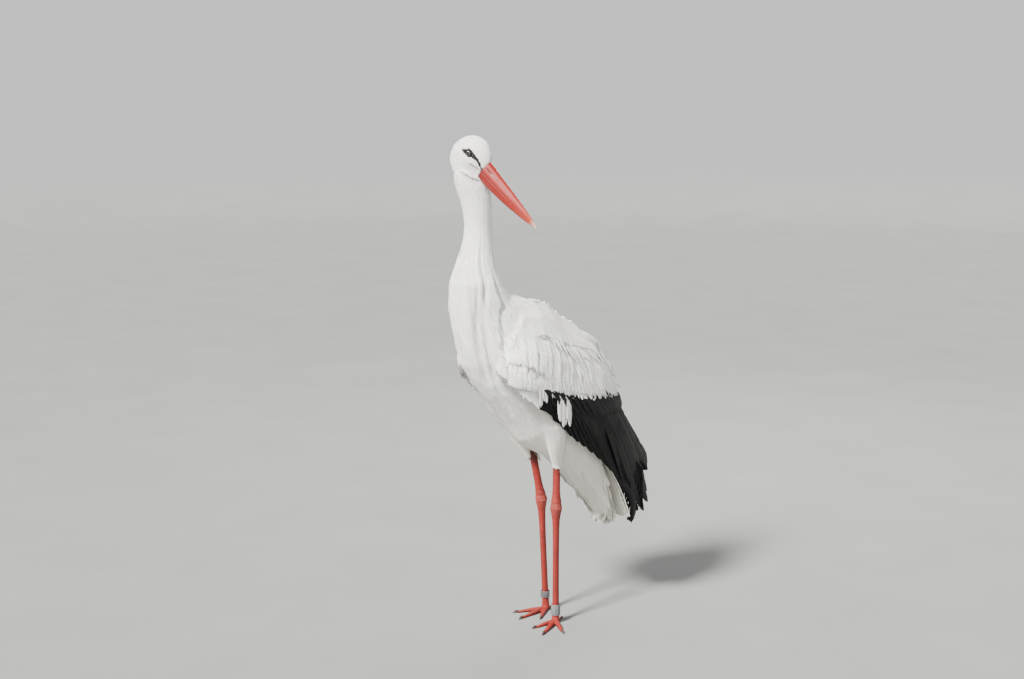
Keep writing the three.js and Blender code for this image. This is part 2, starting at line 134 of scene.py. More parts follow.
def rotated(a, b, angle):
    """a and b after a turn from a towards b."""
    return a * math.cos(angle) - b * math.sin(angle), a * math.sin(angle) + b * math.cos(angle)


def head_turn(v):
    """Directions from the head's own axes (x left, y backwards, z up) to the frame's."""
    y, z = rotated(v[..., 1], v[..., 2], HEAD_PITCH)
    return together(*rotated(v[..., 0], y, HEAD_YAW), z)


def on_head(ahead, left, above):
    """Points in the frame from millimetres ahead of, left of and above the head's centre."""
    return head_turn(together(left, -np.asarray(ahead), above) * MM) + HEAD_CENTRE


HEAD_AXES = head_turn(np.eye(3))  # rows: left, back and up of the head


def from_head(points):
    """ahead, left and above in millimetres of the head, from points in the frame."""
    q = (np.asarray(points) - HEAD_CENTRE) @ HEAD_AXES.T / MM
    return -q[..., 1], q[..., 0], q[..., 2]


# ------------------------------------------------------------------ camera and light

CAMERA_AT = (2137, 2416, 1108)
CAMERA_LOOK = (-0.643, -0.766)  # the way it looks over the floor: forward, left
CAMERA_DROP = math.radians(8.92)
LENS, SENSOR = 54.88, 36


def placed(name, data):
    """A new object in the scene."""
    obj = bpy.data.objects.new(name, data)
    bpy.context.scene.collection.objects.link(obj)
    return obj


def light(name, kind, place, aim, power, colour, **more):
    """A light at place, or a sun in its direction, that shines on aim."""
    data = bpy.data.lights.new(name, kind)
    data.energy, data.color = power, colour
    for key, value in more.items():
        setattr(data, key, value)
    obj = placed(name, data)
    obj.location = Vector(at(*place))
    obj.rotation_euler = Vector(at(*place) - at(*aim)).to_track_quat("Z", "Y").to_euler()


camera_data = bpy.data.cameras.new("camera")
camera_data.lens, camera_data.sensor_width = LENS, SENSOR
camera_data.clip_start, camera_data.clip_end = 0.05, 60
camera = placed("camera", camera_data)
look_forward, look_left = (v * math.cos(CAMERA_DROP) for v in CAMERA_LOOK)
look = Vector((look_left, -look_forward, -math.sin(CAMERA_DROP)))
camera.location = Vector(at(*CAMERA_AT))
camera.rotation_euler = look.to_track_quat("-Z", "Y").to_euler()
bpy.context.scene.camera = camera

light("key_light", "SUN", (700, 120, 700), (0, 0, 0), 12.5, (1.0, 0.975, 0.94), angle=math.radians(10))
light("fill", "AREA", (1500, 2100, 1900), (0, 0, 700), 26, (0.93, 0.97, 1.0), shape="DISK", size=0.9)
light("back", "AREA", (-1900, -900, 2300), (0, 0, 650), 60, (1.0, 0.98, 0.95), shape="DISK", size=1.4)

world = bpy.data.worlds.new("studio")
world.use_nodes = True
sky = world.node_tree.nodes["Background"].inputs
sky["Color"].default_value, sky["Strength"].default_value = (0.86, 0.88, 0.9, 1), 0.32
bpy.context.scene.world = world

# ------------------------------------------------------------------ materials


class Paint:
    """A Principled material whose colour and bump come from a few procedural nodes."""

    def __init__(self, name, roughness, **sockets):
        self.material = bpy.data.materials.new(name)
        self.material.use_nodes = True
        self.tree = self.material.node_tree
        self.shader = self.tree.nodes["Principled BSDF"]
        for key, value in {"Roughness": roughness, **sockets}.items():
            self.shader.inputs[key.replace("_", " ")].default_value = value

    def feed(self, socket, value):
        """Gives a socket a link, a number or a colour of three numbers."""
        if isinstance(value, bpy.types.NodeSocket):
            self.tree.links.new(value, socket)
        else:
            socket.default_value = value if isinstance(value, (int, float)) else (*value, 1)

    def node(self, kind, sources={}, **values):
        """A node with these values, fed from these sources."""
        node = self.tree.nodes.new(kind)
        for key, value in values.items():
            if key in node.inputs:
                node.inputs[key].default_value = value
            else:
                setattr(node, key, value)
        for key, value in sources.items():
            self.feed(node.inputs[key], value)
        return node

    def place(self, stretch=(1, 1, 1)):
        """The point in the frame, stretched."""
        here = self.node("ShaderNodeTexCoord").outputs["Object"]
        return self.node("ShaderNodeMapping", {"Vector": here}, Scale=stretch).outputs[0]

    def attribute(self, name):
        return self.node("ShaderNodeAttribute", attribute_name=name).outputs["Fac"]

    def noise(self, scale, detail=4, stretch=(1, 1, 1)):
        values = {"Scale": scale, "Detail": detail, "Roughness": 0.55}
        return self.node("ShaderNodeTexNoise", {"Vector": self.place(stretch)}, **values).outputs["Fac"]

    def ramp(self, factor, *stops):
        """A colour ramp through (position, colour) stops."""
        ramp = self.node("ShaderNodeValToRGB", {"Fac": factor})
        elements = ramp.color_ramp.elements
        while len(elements) < len(stops):
            elements.new(0.5)
        for element, (position, colour) in zip(elements, stops):
            element.position, element.color = position, (*colour, 1)
        return ramp.outputs["Color"]

    def math(self, kind, a, b=0.0):
        return self.node("ShaderNodeMath", {0: a, 1: b}, operation=kind).outputs[0]

    def colour(self, base, *layers):
        """The surface's colour: base, with (share, colour) layers over it. A share may be an attribute's name."""
        for share, over in layers:
            share = self.attribute(share) if isinstance(share, str) else share
            base = self.node("ShaderNodeMix", {0: share, 6: base, 7: over}, data_type="RGBA").outputs[2]
        self.feed(self.shader.inputs["Base Color"], base)

    def rough(self, factor, low, high):
        node = self.node("ShaderNodeMapRange", {"Value": factor, "To Min": low, "To Max": high})
        self.feed(self.shader.inputs["Roughness"], node.outputs[0])

    def bump(self, strength, *heights):
        """Bump from (height link, depth in metres) pairs, one on the other."""
        under = {}
        for height, depth in heights:
            node = self.node("ShaderNodeBump", {"Height": height, **under}, Strength=strength, Distance=depth)
            under = {"Normal": node.outputs[0]}
        self.feed(self.shader.inputs["Normal"], under["Normal"])

    def barbs(self, count, slant=0.35):
        """Fine lines that run out and forward from a feather's shaft, from its Vane map."""
        uv = self.node("ShaderNodeSeparateXYZ", {0: self.node("ShaderNodeUVMap", uv_map="Vane").outputs[0]})
        out = self.math("ABSOLUTE", self.math("SUBTRACT", uv.outputs[0], 0.5))
        phase = self.math("SUBTRACT", uv.outputs[1], self.math("MULTIPLY", out, slant))
        return self.math("SINE", self.math("MULTIPLY", phase, count * ROUND))


def white_plumage():
    p = Paint("white_plumage", 0.8, Sheen_Weight=0.25, Sheen_Roughness=0.5, Specular_IOR_Level=0.25)
    fine = p.noise(60, 3, (1, 1, 0.35))
    clean = p.ramp(p.noise(9, 3), (0.3, (0.86, 0.85, 0.815)), (0.7, (0.93, 0.925, 0.905)))
    # The shade layer is painted shade, which on the coat also holds each feather's own random tone. The last, brown
    # layer is painted shade in the crease at the corner of the mouth and under the edge of the cheek
    p.colour(clean, (p.math("MULTIPLY", fine, 0.16), (0.66, 0.63, 0.56)), ("cream", (0.8, 0.765, 0.66)),
             ("shade", (0.6, 0.585, 0.55)), ("crease_shade", (0.24, 0.13, 0.09)))
    p.bump(0.35, (p.barbs(26), 0.0004), (fine, 0.0006))
    return p.material


def black_plumage():
    p = Paint("black_plumage", 0.55, Sheen_Weight=0.03, Sheen_Roughness=0.4, Specular_IOR_Level=0.18)
    broad = p.noise(26, 4, (1, 1, 0.4))
    base = p.ramp(broad, (0.3, (0.0022, 0.0022, 0.0027)), (0.75, (0.006, 0.0058, 0.0064)))
    # Here the shade layer makes the black lighter: each feather's own tone, and a painted highlight along the edges
    # of the long feathers
    p.colour(base, ("shade", (0.022, 0.019, 0.017)))
    p.rough(broad, 0.42, 0.62)
    p.bump(0.4, (p.barbs(70), 0.0004), (broad, 0.0004))
    return p.material


def leg_skin():
    p = Paint("leg_skin", 0.55, Specular_IOR_Level=0.4)
    broad = p.noise(38, 4, (1, 1, 0.5))
    fine = p.noise(260, 3)
    red = p.ramp(broad, (0.3, (0.15, 0.004, 0.003)), (0.55, (0.24, 0.009, 0.005)), (0.8, (0.33, 0.03, 0.02)))
    chalk = p.math("MULTIPLY", p.attribute("chalk"), fine)
    p.colour((0.1, 0.005, 0.004), ("scale", red), (chalk, (0.55, 0.2, 0.15)), ("shade", (0.05, 0.01, 0.007)))
    p.rough(fine, 0.45, 0.7)
    p.bump(0.5, (fine, 0.0003), (broad, 0.0005))
    return p.material


def bare_black():
    p = Paint("eye_skin", 0.6, Specular_IOR_Level=0.35)
    fine = p.noise(420, 3)
    p.colour(p.ramp(fine, (0.3, (0.003, 0.003, 0.0035)), (0.8, (0.012, 0.011, 0.012))))
    p.bump(0.6, (fine, 0.0004))
    return p.material


def bill_horn():
    p = Paint("bill_horn", 0.36, Specular_IOR_Level=0.5, Coat_Weight=0.15, Coat_Roughness=0.25)
    streak = p.noise(55, 5)
    red = p.ramp(p.attribute("along"), (0.0, (0.14, 0.002, 0.002)), (0.12, (0.2, 0.003, 0.002)),
                 (0.6, (0.25, 0.005, 0.003)), (0.88, (0.34, 0.035, 0.016)), (1.0, (0.7, 0.5, 0.36)))
    # The upper layer is a painted highlight: a paler, pinker band along the side of the upper mandible, where the top
    # of the bill catches the light. The shade layer is painted shade in the nostril and along the mouth
    p.colour(red, ("upper", (0.34, 0.045, 0.04)), (p.math("MULTIPLY", streak, 0.25), (0.36, 0.06, 0.045)),
             ("shade", (0.06, 0.004, 0.003)))
    p.rough(streak, 0.28, 0.5)
    p.bump(0.4, (streak, 0.0006), (p.noise(380, 3), 0.00015))
    return p.material


def claw_horn():
    p = Paint("claw_horn", 0.42, Specular_IOR_Level=0.45)
    broad = p.noise(190)
    p.colour(p.ramp(broad, (0.3, (0.035, 0.02, 0.016)), (0.75, (0.12, 0.07, 0.055))))
    p.rough(broad, 0.35, 0.6)
    p.bump(0.5, (broad, 0.0004))
    return p.material


def eyeball():
    p = Paint("eyeball", 0.05, Coat_Weight=1.0, Coat_Roughness=0.03, Specular_IOR_Level=0.9)
    rays = p.noise(900, 3)
    black = (0.003, 0.003, 0.003)
    iris = p.ramp(p.attribute("radial"), (0.0, black), (0.4, black), (0.45, (0.012, 0.008, 0.006)),
                  (0.7, (0.028, 0.018, 0.013)), (0.85, (0.02, 0.015, 0.012)), (0.93, (0.004, 0.004, 0.004)))
    p.colour(iris, (p.math("MULTIPLY", rays, 0.25), (0.02, 0.014, 0.01)))
    p.rough(rays, 0.04, 0.1)
    return p.material


def ring_surface(name, bright, dark, metallic, roughness):
    p = Paint(name, roughness, Metallic=metallic)
    wear = p.noise(300, 5, (1, 1, 0.2))
    broad = p.noise(70, 3)
    p.colour(p.ramp(wear, (0.35, dark), (0.65, bright)), (broad, dark))
    p.rough(wear, roughness - 0.1, roughness + 0.15)
    p.bump(0.4, (wear, 0.0002), (broad, 0.0004))
    return p.material


def floor_surface():
    """Plain pale paper, which glows where it curves up, so that the wall is as light as the floor on every side."""
    wall_glow = 0.83
    p = Paint("floor_paper", 0.85, Specular_IOR_Level=0.0, Emission_Color=(1, 1, 1, 1))
    height = p.node("ShaderNodeSeparateXYZ", {0: p.place()}).outputs[2]
    sources = {"Value": height, "From Min": 0.0, "From Max": 0.5}
    rise = p.node("ShaderNodeMapRange", sources, interpolation_type="SMOOTHSTEP").outputs[0]
    p.feed(p.shader.inputs["Emission Strength"], p.math("MULTIPLY", rise, wall_glow))
    paper = p.ramp(p.noise(3, 3), (0.3, (0.235, 0.24, 0.235)), (0.7, (0.255, 0.26, 0.255)))
    p.colour(paper, (rise, (0.002, 0.002, 0.002)))
    p.bump(0.2, (p.noise(700, 2), 0.0002))
    return p.material


WHITE, BLACK, LEG, DARK_SKIN = white_plumage(), black_plumage(), leg_skin(), bare_black()
HORN, CLAW, EYE = bill_horn(), claw_horn(), eyeball()
RING_PALE = ring_surface("ring_pale", (0.2, 0.215, 0.22), (0.12, 0.13, 0.135), 0.1, 0.55)
RING_METAL = ring_surface("ring_metal", (0.4, 0.41, 0.42), (0.16, 0.165, 0.17), 0.9, 0.4)

# ------------------------------------------------------------------ meshes


def piece(name, points, faces, materials, slot, attributes={}, maps={}, face_material=None):
    """A mesh object of the bird. faces is a list of (n, corners) arrays; attributes and maps are given per point."""
    mesh = bpy.data.meshes.new(name)
    corners = np.concatenate([f.ravel() for f in faces]).astype(np.int32)
    sizes = np.concatenate([np.full(len(f), f.shape[1]) for f in faces])
    mesh.vertices.add(len(points))
    mesh.vertices.foreach_set("co", np.asarray(points, np.float32).ravel())
    mesh.loops.add(len(corners))
    mesh.loops.foreach_set("vertex_index", corners)
    mesh.polygons.add(len(sizes))
    mesh.polygons.foreach_set("loop_start", (np.cumsum(sizes) - sizes).astype(np.int32))
    mesh.update(calc_edges=True)
    mesh.shade_smooth()
    for key, values in attributes.items():
        mesh.attributes.new(key, "FLOAT", "POINT").data.foreach_set("value", np.asarray(values, np.float32).ravel())
    for key, uv in maps.items():
        mesh.uv_layers.new(name=key).data.foreach_set("uv", np.asarray(uv, np.float32)[corners].ravel())
    for material in materials:
        mesh.materials.append(material)
    if face_material is not None:
        mesh.polygons.foreach_set("material_index", np.asarray(face_material, np.int32))
    mesh.validate()
    obj = placed(name, mesh)
    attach(obj, "root")
    return obj


def read(items, key, width, kind=np.float64):
    """One property of all the items of a mesh, as rows of width numbers."""
    values = np.empty(len(items) * width, kind)
    items.foreach_get(key, values)
    return values.reshape(-1, width)


def grid(m, n, closed=False):
    """The faces between m rings of n points each, and from the last to the first where closed."""
    i, k = np.meshgrid(np.arange(m if closed else m - 1), np.arange(n), indexing="ij")
    here, next_ring, side = i * n, (i + 1) % m * n, (k + 1) % n
    return np.stack([here + k, here + side, next_ring + side, next_ring + k], -1).reshape(-1, 4)


def inside_out(points, quads):
    a, b, c = (points[quads[:, i]] - points.mean(0) for i in range(3))
    return np.einsum("ij,ij->i", a, np.cross(b, c)).sum() < 0


def loft(rings):
    """Points and faces of a closed skin over rings (m, n, 3), each end closed by a fan, facing out."""
    m, n = rings.shape[:2]
    k = np.arange(n)
    side, last = (k + 1) % n, (m - 1) * n
    quads = grid(m, n)
    points = np.concatenate([rings.reshape(-1, 3), rings[[0, -1]].mean(1)])
    start, end = (np.full(n, m * n + i) for i in (0, 1))
    ends = np.concatenate([np.stack([start, side, k], -1), np.stack([end, last + k, last + side], -1)])
    if inside_out(points, quads):
        quads, ends = quads[:, ::-1], ends[:, ::-1]
    return points, [quads, ends]


def joined(parts):
    """Several (points, faces) as one."""
    points, faces, start = [], [], 0
    for p, groups in parts:
        points.append(p)
        faces += [g + start for g in groups]
        start += len(p)
    return np.concatenate(points), faces


def triangles(faces):
    """The faces of a mesh, cut into triangles."""
    return faces if faces.shape[1] == 3 else np.concatenate([faces[:, [0, 1, 2]], faces[:, [0, 2, 3]]])


def gathered(points, faces, normals):
    """The normals at the points, from those of the faces that meet there."""
    total = np.zeros_like(points)
    for corner in range(faces.shape[1]):
        np.add.at(total, faces[:, corner], normals)
    return unit(total)


def point_normals(points, quads):
    a, b, c, d = (points[quads[:, i]] for i in range(4))
    return gathered(points, quads, np.cross(c - a, d - b))


def neighbour_mean(values, quads):
    """For each point, the mean of the values at the points next to it."""
    total, count = np.zeros_like(values), np.zeros(len(values))
    for i in range(4):
        j = (i + 1) % 4
        for a, b in ((quads[:, i], quads[:, j]), (quads[:, j], quads[:, i])):
            np.add.at(total, a, values[b])
            np.add.at(count, a, 1)
    return total / count.reshape((-1,) + (1,) * (values.ndim - 1))


def largest_island(points, quads):
    """The connected part of a mesh with the most corners."""
    label, before = np.arange(len(points)), None
    while before is None or (label != before).any():
        before = label
        low = label[quads].min(1)
        label = label.copy()
        for corner in range(4):
            np.minimum.at(label, quads[:, corner], low)
        label = label[label]
    main = np.bincount(label[quads[:, 0]]).argmax()
    used, index = np.unique(quads[label[quads[:, 0]] == main], return_inverse=True)
    return points[used], index.reshape(-1, 4)


def node_vertices(name):
    return read(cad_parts[name].data.vertices, "co", 3, np.float32)


def cad_tree(names):
    """A search tree over CAD nodes, and for each of its faces the number of its node."""
    points, faces, owner = [], [], []
    for number, name in enumerate(names):
        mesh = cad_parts[name].data
        start = len(points)
        points += [v.co[:] for v in mesh.vertices]
        faces += [[start + i for i in f.vertices] for f in mesh.polygons]
        owner += [number] * len(mesh.polygons)
    return BVHTree.FromPolygons(points, faces), np.array(owner)


def remeshed(nodes, voxel, grow, rounds, extra=()):
    """One smooth closed surface (points, quads) round extra bodies and CAD nodes, each grown so that they merge."""
    parts = [(points, [np.concatenate([triangles(f) for f in faces])]) for points, faces in extra]
    for name in nodes:
        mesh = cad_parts[name].data
        mesh.calc_loop_triangles()
        merged, index = np.unique(np.round(node_vertices(name), 6), axis=0, return_inverse=True)
        tris = index.ravel()[read(mesh.loop_triangles, "vertices", 3, np.int32)]
        a, b, c = (merged[tris[:, i]] for i in range(3))
        parts.append((merged + gathered(merged, tris, np.cross(b - a, c - a)) * grow, [tris]))
    points, faces = joined(parts)
    mesh = bpy.data.meshes.new("remesh")
    mesh.from_pydata(points.tolist(), [], np.concatenate(faces).tolist())
    source = placed("remesh", mesh)
    modifier = source.modifiers.new("voxels", "REMESH")
    modifier.mode, modifier.voxel_size = "VOXEL", voxel
    made = bpy.data.meshes.new_from_object(source.evaluated_get(bpy.context.evaluated_depsgraph_get()))
    points = read(made.vertices, "co", 3)
    quads = read(made.loops, "vertex_index", 1, np.int32).reshape(-1, 4)
    bpy.data.objects.remove(source)
    bpy.data.meshes.remove(made)
    points, quads = largest_island(points, quads)
    for _ in range(rounds):
        for step in (0.5, -0.53):
            points = points + step * (neighbour_mean(points, quads) - points)
    return points, quads


# ------------------------------------------------------------------ the outer form of the plumage

FLESH = ["head", "neck_upper", "neck_lower", "trunk", "thigh_left", "thigh_right",
         "wing_left_coverts", "wing_right_coverts"]
HULL_VOXEL = 0.0028
# Half width and half thickness of the mantle, and its place under the wings' ridges
MANTLE_HALF, MANTLE_DEPTH, MANTLE_SINK = 34.0, 17.0, 5.0
MANTLE_LEVELS = (690, 488)

# The middle line of the body seen from the side, from the crown to the tail: forward, up
BODY_LINE = curve([(212, 1010), (205, 940), (197, 860), (199, 790), (198, 735), (172, 684), (98, 577), (-14, 468),
                   (-84, 338), (-148, 212)], 160)
BODY_TANGENT = unit(np.gradient(BODY_LINE, axis=0))

# The middle of each thigh from the flank down
THIGH_LINE = {
    "left": curve([(74, 42, 500), (56, 58, 456), (43, 58, 425), (34, 53, 398), (26, 46, 372), (19, 40, 330)], 40),
    "right": curve([(104, -46, 512), (76, -54, 468), (59, -57, 434), (48, -55, 406), (39, -53, 382),
                    (20, -46, 340)], 40),
}

# Where one layer of feathers ends over the next, on the left side. Each goes with how far the upper layer stands
# out, how far the lower one lies in, and the width of each
SCAPULAR_HEM = [(131, 91, 629), (93, 92, 625), (44, 90, 606), (-20, 74, 590), (-62, 58, 574), (-104, 48, 549)]
WRIST_FOLD = [(188, 74, 584), (182, 84, 578), (168, 94, 577), (144, 106, 566), (118, 110, 549)]
CURTAIN = [(160, 60, 515), (185, 75, 570), (190, 68, 604), (192, 64, 640), (189, 61, 674), (186, 57, 705),
           (196, 53, 735), (202, 45, 770)]
FOLDS = [(SCAPULAR_HEM, 2.4, 2.0, 38, 22), (WRIST_FOLD, 3, 3.5, 26, 13), (CURTAIN, 1.5, 3.2, 18, 13)]
BREAST_GROOVES = [
    [(236, 41, 745), (234, 44, 700), (233, 41, 658), (229, 39, 622), (214, 35, 570), (190, 28, 525)],
    [(214, 46, 762), (221, 50, 712), (222, 49, 676), (215, 50, 622), (203, 49, 570), (184, 40, 525)],
]
GROOVE_DEPTH, GROOVE_WIDTH = 6.0, 7.0
# The lower edge of the cheek, over the top of the neck: ahead of and above the head's centre, with 0 between
JAW = [(-8, 0, -35), (4, 0, -32.5), (14.6, 0, -30), (22, 0, -28), (29, 0, -27), (38, 0, -25), (45, 0, -22)]
COVERT_EDGE = np.array([(120, 520), (-136, 474)], float)  # forward, up: the white coverts end on this line


def line_distance(points, line):
    """Distances of bird points from a line, the share along it, and the ways off it and along it."""
    line = curve(line, 50)
    best = np.full(len(points), np.inf)
    share, off, way = np.zeros(len(points)), np.zeros_like(points), np.zeros_like(points)
    for i in range(len(line) - 1):
        a, d = line[i], line[i + 1] - line[i]
        t = np.clip(((points - a) @ d) / (d @ d), 0, 1)
        gap = points - a - t[:, None] * d
        distance = np.linalg.norm(gap, axis=1)
        closer = distance < best
        best[closer], share[closer] = distance[closer], (i + t[closer]) / (len(line) - 1)
        off[closer], way[closer] = gap[closer], unit(d)
    return best, share, off, way


def fold(points, normals, line, above, below, wide_above, wide_below, ends=0.15):
    """How far points move out where a layer of feathers ends along a line over the next, in millimetres."""
    distance, share, off, way = line_distance(points, line)
    upper = smooth(np.einsum("ij,ij->i", np.cross(normals, way), off), -1.5, 1.5)
    fade = smooth(share, 0, ends) * fall(share, 1 - ends, 1) * (distance < 90) * smooth(normals[:, 1], 0, 0.2)
    ragged = 1 + 0.3 * ripple(share * 9, 61)
    out, into = upper * above * bell(distance, wide_above), (1 - upper) * below * bell(distance, wide_below)
    return fade * ragged * (out - into)


def body_place(points):
    """Share along BODY_LINE, angle round it (0 in front, pi at the back) and distance from it."""
    forward, left, up = bird(points)
    p = together(forward, up)
    batches = np.array_split(p, len(p) // 4000 + 1)
    nearest = np.concatenate([((batch[:, None] - BODY_LINE) ** 2).sum(-1).argmin(1) for batch in batches])
    off, tangent = p - BODY_LINE[nearest], BODY_TANGENT[nearest]
    ahead = off[:, 0] * -tangent[:, 1] + off[:, 1] * tangent[:, 0]
    return nearest / (len(BODY_LINE) - 1), np.arctan2(left, ahead), np.hypot(left, ahead)


def jaw_place(points):
    """Distance from JAW, share along it, height over it, distance from the head's middle, and 1 on the head."""
    ahead, beside, above = from_head(points)
    distance, share, off, _ = line_distance(together(ahead, 0, above), JAW)
    on = np.linalg.norm(together(ahead, beside, above), axis=1) < HEAD_REACH
    return distance, share, off[:, 2], np.abs(beside), on


def sculpted(points, quads):
    """The hull with its folds: layers that end over the wing, hanging folds down the breast, and the cheek's edge."""
    normals = point_normals(points, quads)
    forward, left, up = bird(points)
    side = one_side(points)
    outward = together(-normals[:, 1], normals[:, 0] * np.sign(left), normals[:, 2])
    move = np.zeros(len(points))
    for line, *sizes in FOLDS:
        move += fold(side, outward, line, *sizes)
    for line in BREAST_GROOVES:
        distance, share, *_ = line_distance(side, line)
        move -= GROOVE_DEPTH * bell(distance, GROOVE_WIDTH) * smooth(share, 0, 0.2) * fall(share, 0.85, 1)
    # the long feathers under the scapulars hang in ragged streaks
    distance, share, off, _ = line_distance(side, SCAPULAR_HEM)
    hanging = (off[:, 2] < 0) * smooth(distance, 4, 16) * fall(distance, 60, 85) * smooth(np.abs(left), 50, 75)
    move += 1.2 * hanging * fall(share, 0.55, 0.8) * ripple(forward / 21 + up / 120, 12)
    along, angle, radius = body_place(points)
    front = fall(np.abs(angle), 0.9, 1.7) * smooth(along, 0.2, 0.36) * fall(along, 0.62, 0.8)
    move += 2.6 * front * ripple(angle * 2.1 + 0.5 * ripple(along * 3, 5), 3) * smooth(radius, 20, 45)
    distance, share, over, beside, on = jaw_place(points)
    cheek = np.where(over > 0, 1.2 * bell(distance, 9), -2.6 * bell(distance, 8))
    move += on * smooth(beside, 3, 12) * cheek * smooth(share, 0.05, 0.4)
    return points + normals * move[:, None] * MM


def mantle():
    """The feathers of the back that close the gap between the folded wings: a thick strip down the middle."""
    forward, left, up = bird(np.concatenate([node_vertices(f"wing_{side}_coverts") for side in SIDES]))
    inner = np.abs(left) < MANTLE_HALF + 12
    levels = np.linspace(*MANTLE_LEVELS, 16)[::3]
    rows = curve([(forward[inner & (np.abs(up - level) < 16)].min(), level) for level in levels], 30)
    tangent = unit(np.gradient(rows, axis=0))
    back = together(tangent[:, 1], -tangent[:, 0])
    back *= -np.sign(back[:, :1])
    turn = np.linspace(0, ROUND, 28, endpoint=False)
    narrow = np.interp(np.linspace(0, 1, 30), [0, 0.12, 0.85, 1], [0.45, 0.9, 1, 0.55])
    depth = MANTLE_DEPTH * (np.cos(turn) - 1) * 0.9 - MANTLE_SINK
    return loft(np.array([at(f + b[0] * depth, MANTLE_HALF * size * np.sin(turn), u + b[1] * depth)
                          for (f, u), b, size in zip(rows, back, narrow)]))


hull_points, hull_quads = remeshed(FLESH, HULL_VOXEL, 0.4 * MM, 9, [mantle()])
ahead, beside, above = from_head(hull_points)
nape = smooth(-above, 8, 22) * fall(-above, 60, 80) * fall(ahead, -12, 14) * (np.abs(beside) < 60)
for _ in range(40):
    hull_points = hull_points + 0.8 * nape[:, None] * (neighbour_mean(hull_points, hull_quads) - hull_points)
hull_points = sculpted(hull_points, hull_quads)
HULL = BVHTree.FromPolygons([tuple(p) for p in hull_points.tolist()], hull_quads.tolist())
FLESH_TREE, FLESH_OWNER = cad_tree(FLESH)


def nearest_node(points):
    """The index in FLESH of the CAD node nearest to each point."""
    return FLESH_OWNER[[FLESH_TREE.find_nearest(p)[2] for p in points.tolist()]]


def snapped(points):
    """The nearest place on the hull for each point, and the normal there."""
    found = [HULL.find_nearest(p) for p in points.tolist()]
    return np.array([f[0][:] for f in found]), np.array([f[1][:] for f in found])


# ------------------------------------------------------------------ markings and painted shade

# The bare black patch on each side of the face, from behind the eye to the bill: ahead, above, half height
EYE_PATCH = curve([(-15, 4.2, 0.2), (-9, 6.2, 2.4), (-2, 8.6, 5.4), (4.5, 10, 6.9), (11, 11, 5.6), (17, 11, 3.9),
                   (23, 9.9, 3.0), (29, 7.4, 2.6), (35, 4.0, 2.1), (41, 0.5, 1.7)], 60)
# The corner of the mouth, behind the bill, in the same way
GAPE = curve([(19.5, -5.4, 0), (27, -4.2, 0), (33.5, -3.4, 0), (44, -3.0, 0)], 20)


def face_mark(points, line, low, high, beside):
    """1 near a line on each side of the face, 0 farther off, with a short step between."""
    ahead, left, above = from_head(points)
    p = together(ahead, above)
    distance = np.linalg.norm(p[:, None] - line[None, :, :2], axis=-1) - line[None, :, 2]
    return fall(distance.min(1), low, high) * (np.abs(left) > beside) * (np.linalg.norm(p, axis=1) < FACE_REACH)


def patch_share(points):
    """1 inside the black patch of the face."""
    return face_mark(points, EYE_PATCH, -0.6, 0.6, 8)


def gape_share(points, width=0.0):
    """1 on the line of the mouth behind the bill."""
    return face_mark(points, GAPE, 0.4 + width, 1.7 + width, 6)


def jaw_share(points):
    """1 in the shade under the edge of the cheek."""
    distance, share, over, _, on = jaw_place(points)
    return (on & (over < 1)) * bell(distance, 8) * smooth(share, 0.1, 0.5)


def cream_share(points):
    """How yellowish the white is: most on the belly, thighs and under the tail, a little on the breast."""
    forward, _, up = bird(points)
    low = fall(up, 380, 600)
    return np.clip(0.12 + 0.55 * low - smooth(forward, -220, -60) * 0.3 * (1 - low), 0.04, 0.7)


# ------------------------------------------------------------------ skin and eyes

# How far the skin lies under the tips of the coat, by node
COAT_DEPTH = dict(zip(FLESH, (1.0, 1.7, 2.8, 3.2, 2.2, 2.2, 3.2, 3.2)))
LEG_NODES = ["shank", "tarsus", "foot"]
HOCK_LEVEL = 252.0
LEG_VOXEL = 0.0011
EYE_AT = (2, 24.2, 9)  # ahead of, beside and above the head's centre
EYE_RADIUS = 8.0
IRIS_EDGE = 0.74  # radians from the middle of the pupil


def leg_scales(points, normals):
    """Six-sided scales down the legs and cross bands on the toes: a height from 0 in the seams to 1."""
    forward, left, up = bird(points)
    u, v = np.arctan2(normals[:, 0], -normals[:, 1]) * 2.6, up / 3.6
    row = np.floor(v)
    u = u + 0.5 * (row % 2)
    edge = np.minimum(np.abs(u - np.round(u)), 0.5)
    across = np.minimum(v - row, 1 - (v - row))
    cell = smooth(np.minimum(0.5 - edge, across * 1.1), 0.02, 0.2)
    foot_forward, foot_left = (np.where(left > 0, FEET["left"][i], FEET["right"][i]) for i in (0, 1))
    reach = np.hypot(forward - foot_forward, left - foot_left)
    band = np.abs((reach / 3.4) % 1 - 0.5) * 2
    toe = smooth(normals[:, 2], 0.15, 0.6) * smooth(1 - band, 0.02, 0.35)
    on_toe = fall(up, 13, 18) * smooth(reach, 10, 16)
    return cell * (1 - on_toe) + toe * on_toe


def leg(side):
    """Points and faces of one bare leg, and the height of its scales."""
    points, quads = remeshed([f"{n}_{side}" for n in LEG_NODES], LEG_VOXEL, 0.3 * MM, 6)
    normals = point_normals(points, quads)
    height = leg_scales(points, normals)
    forward, left, up = bird(points)
    over = up - HOCK_LEVEL
    knob = 1.6 * bell(over + 3, 7) * np.abs(normals[:, 0]) ** 2
    knob -= 1.1 * bell(over - 9, 3.5) * (0.4 + 0.6 * np.abs(normals[:, 1]))
    knob += 0.8 * bell(over, 14) * ripple(up / 9 + forward / 11, 41) * ripple(left / 8 + up / 17, 42)
    points = points + normals * knob[:, None] * MM
    sole = points[:, 2] < 1.2 * MM
    points = points + normals * np.where(sole, 0, (height - 0.6) * 0.55 * MM)[:, None]
    points[:, 2] = np.maximum(points[:, 2], 0)
    return points, quads, height


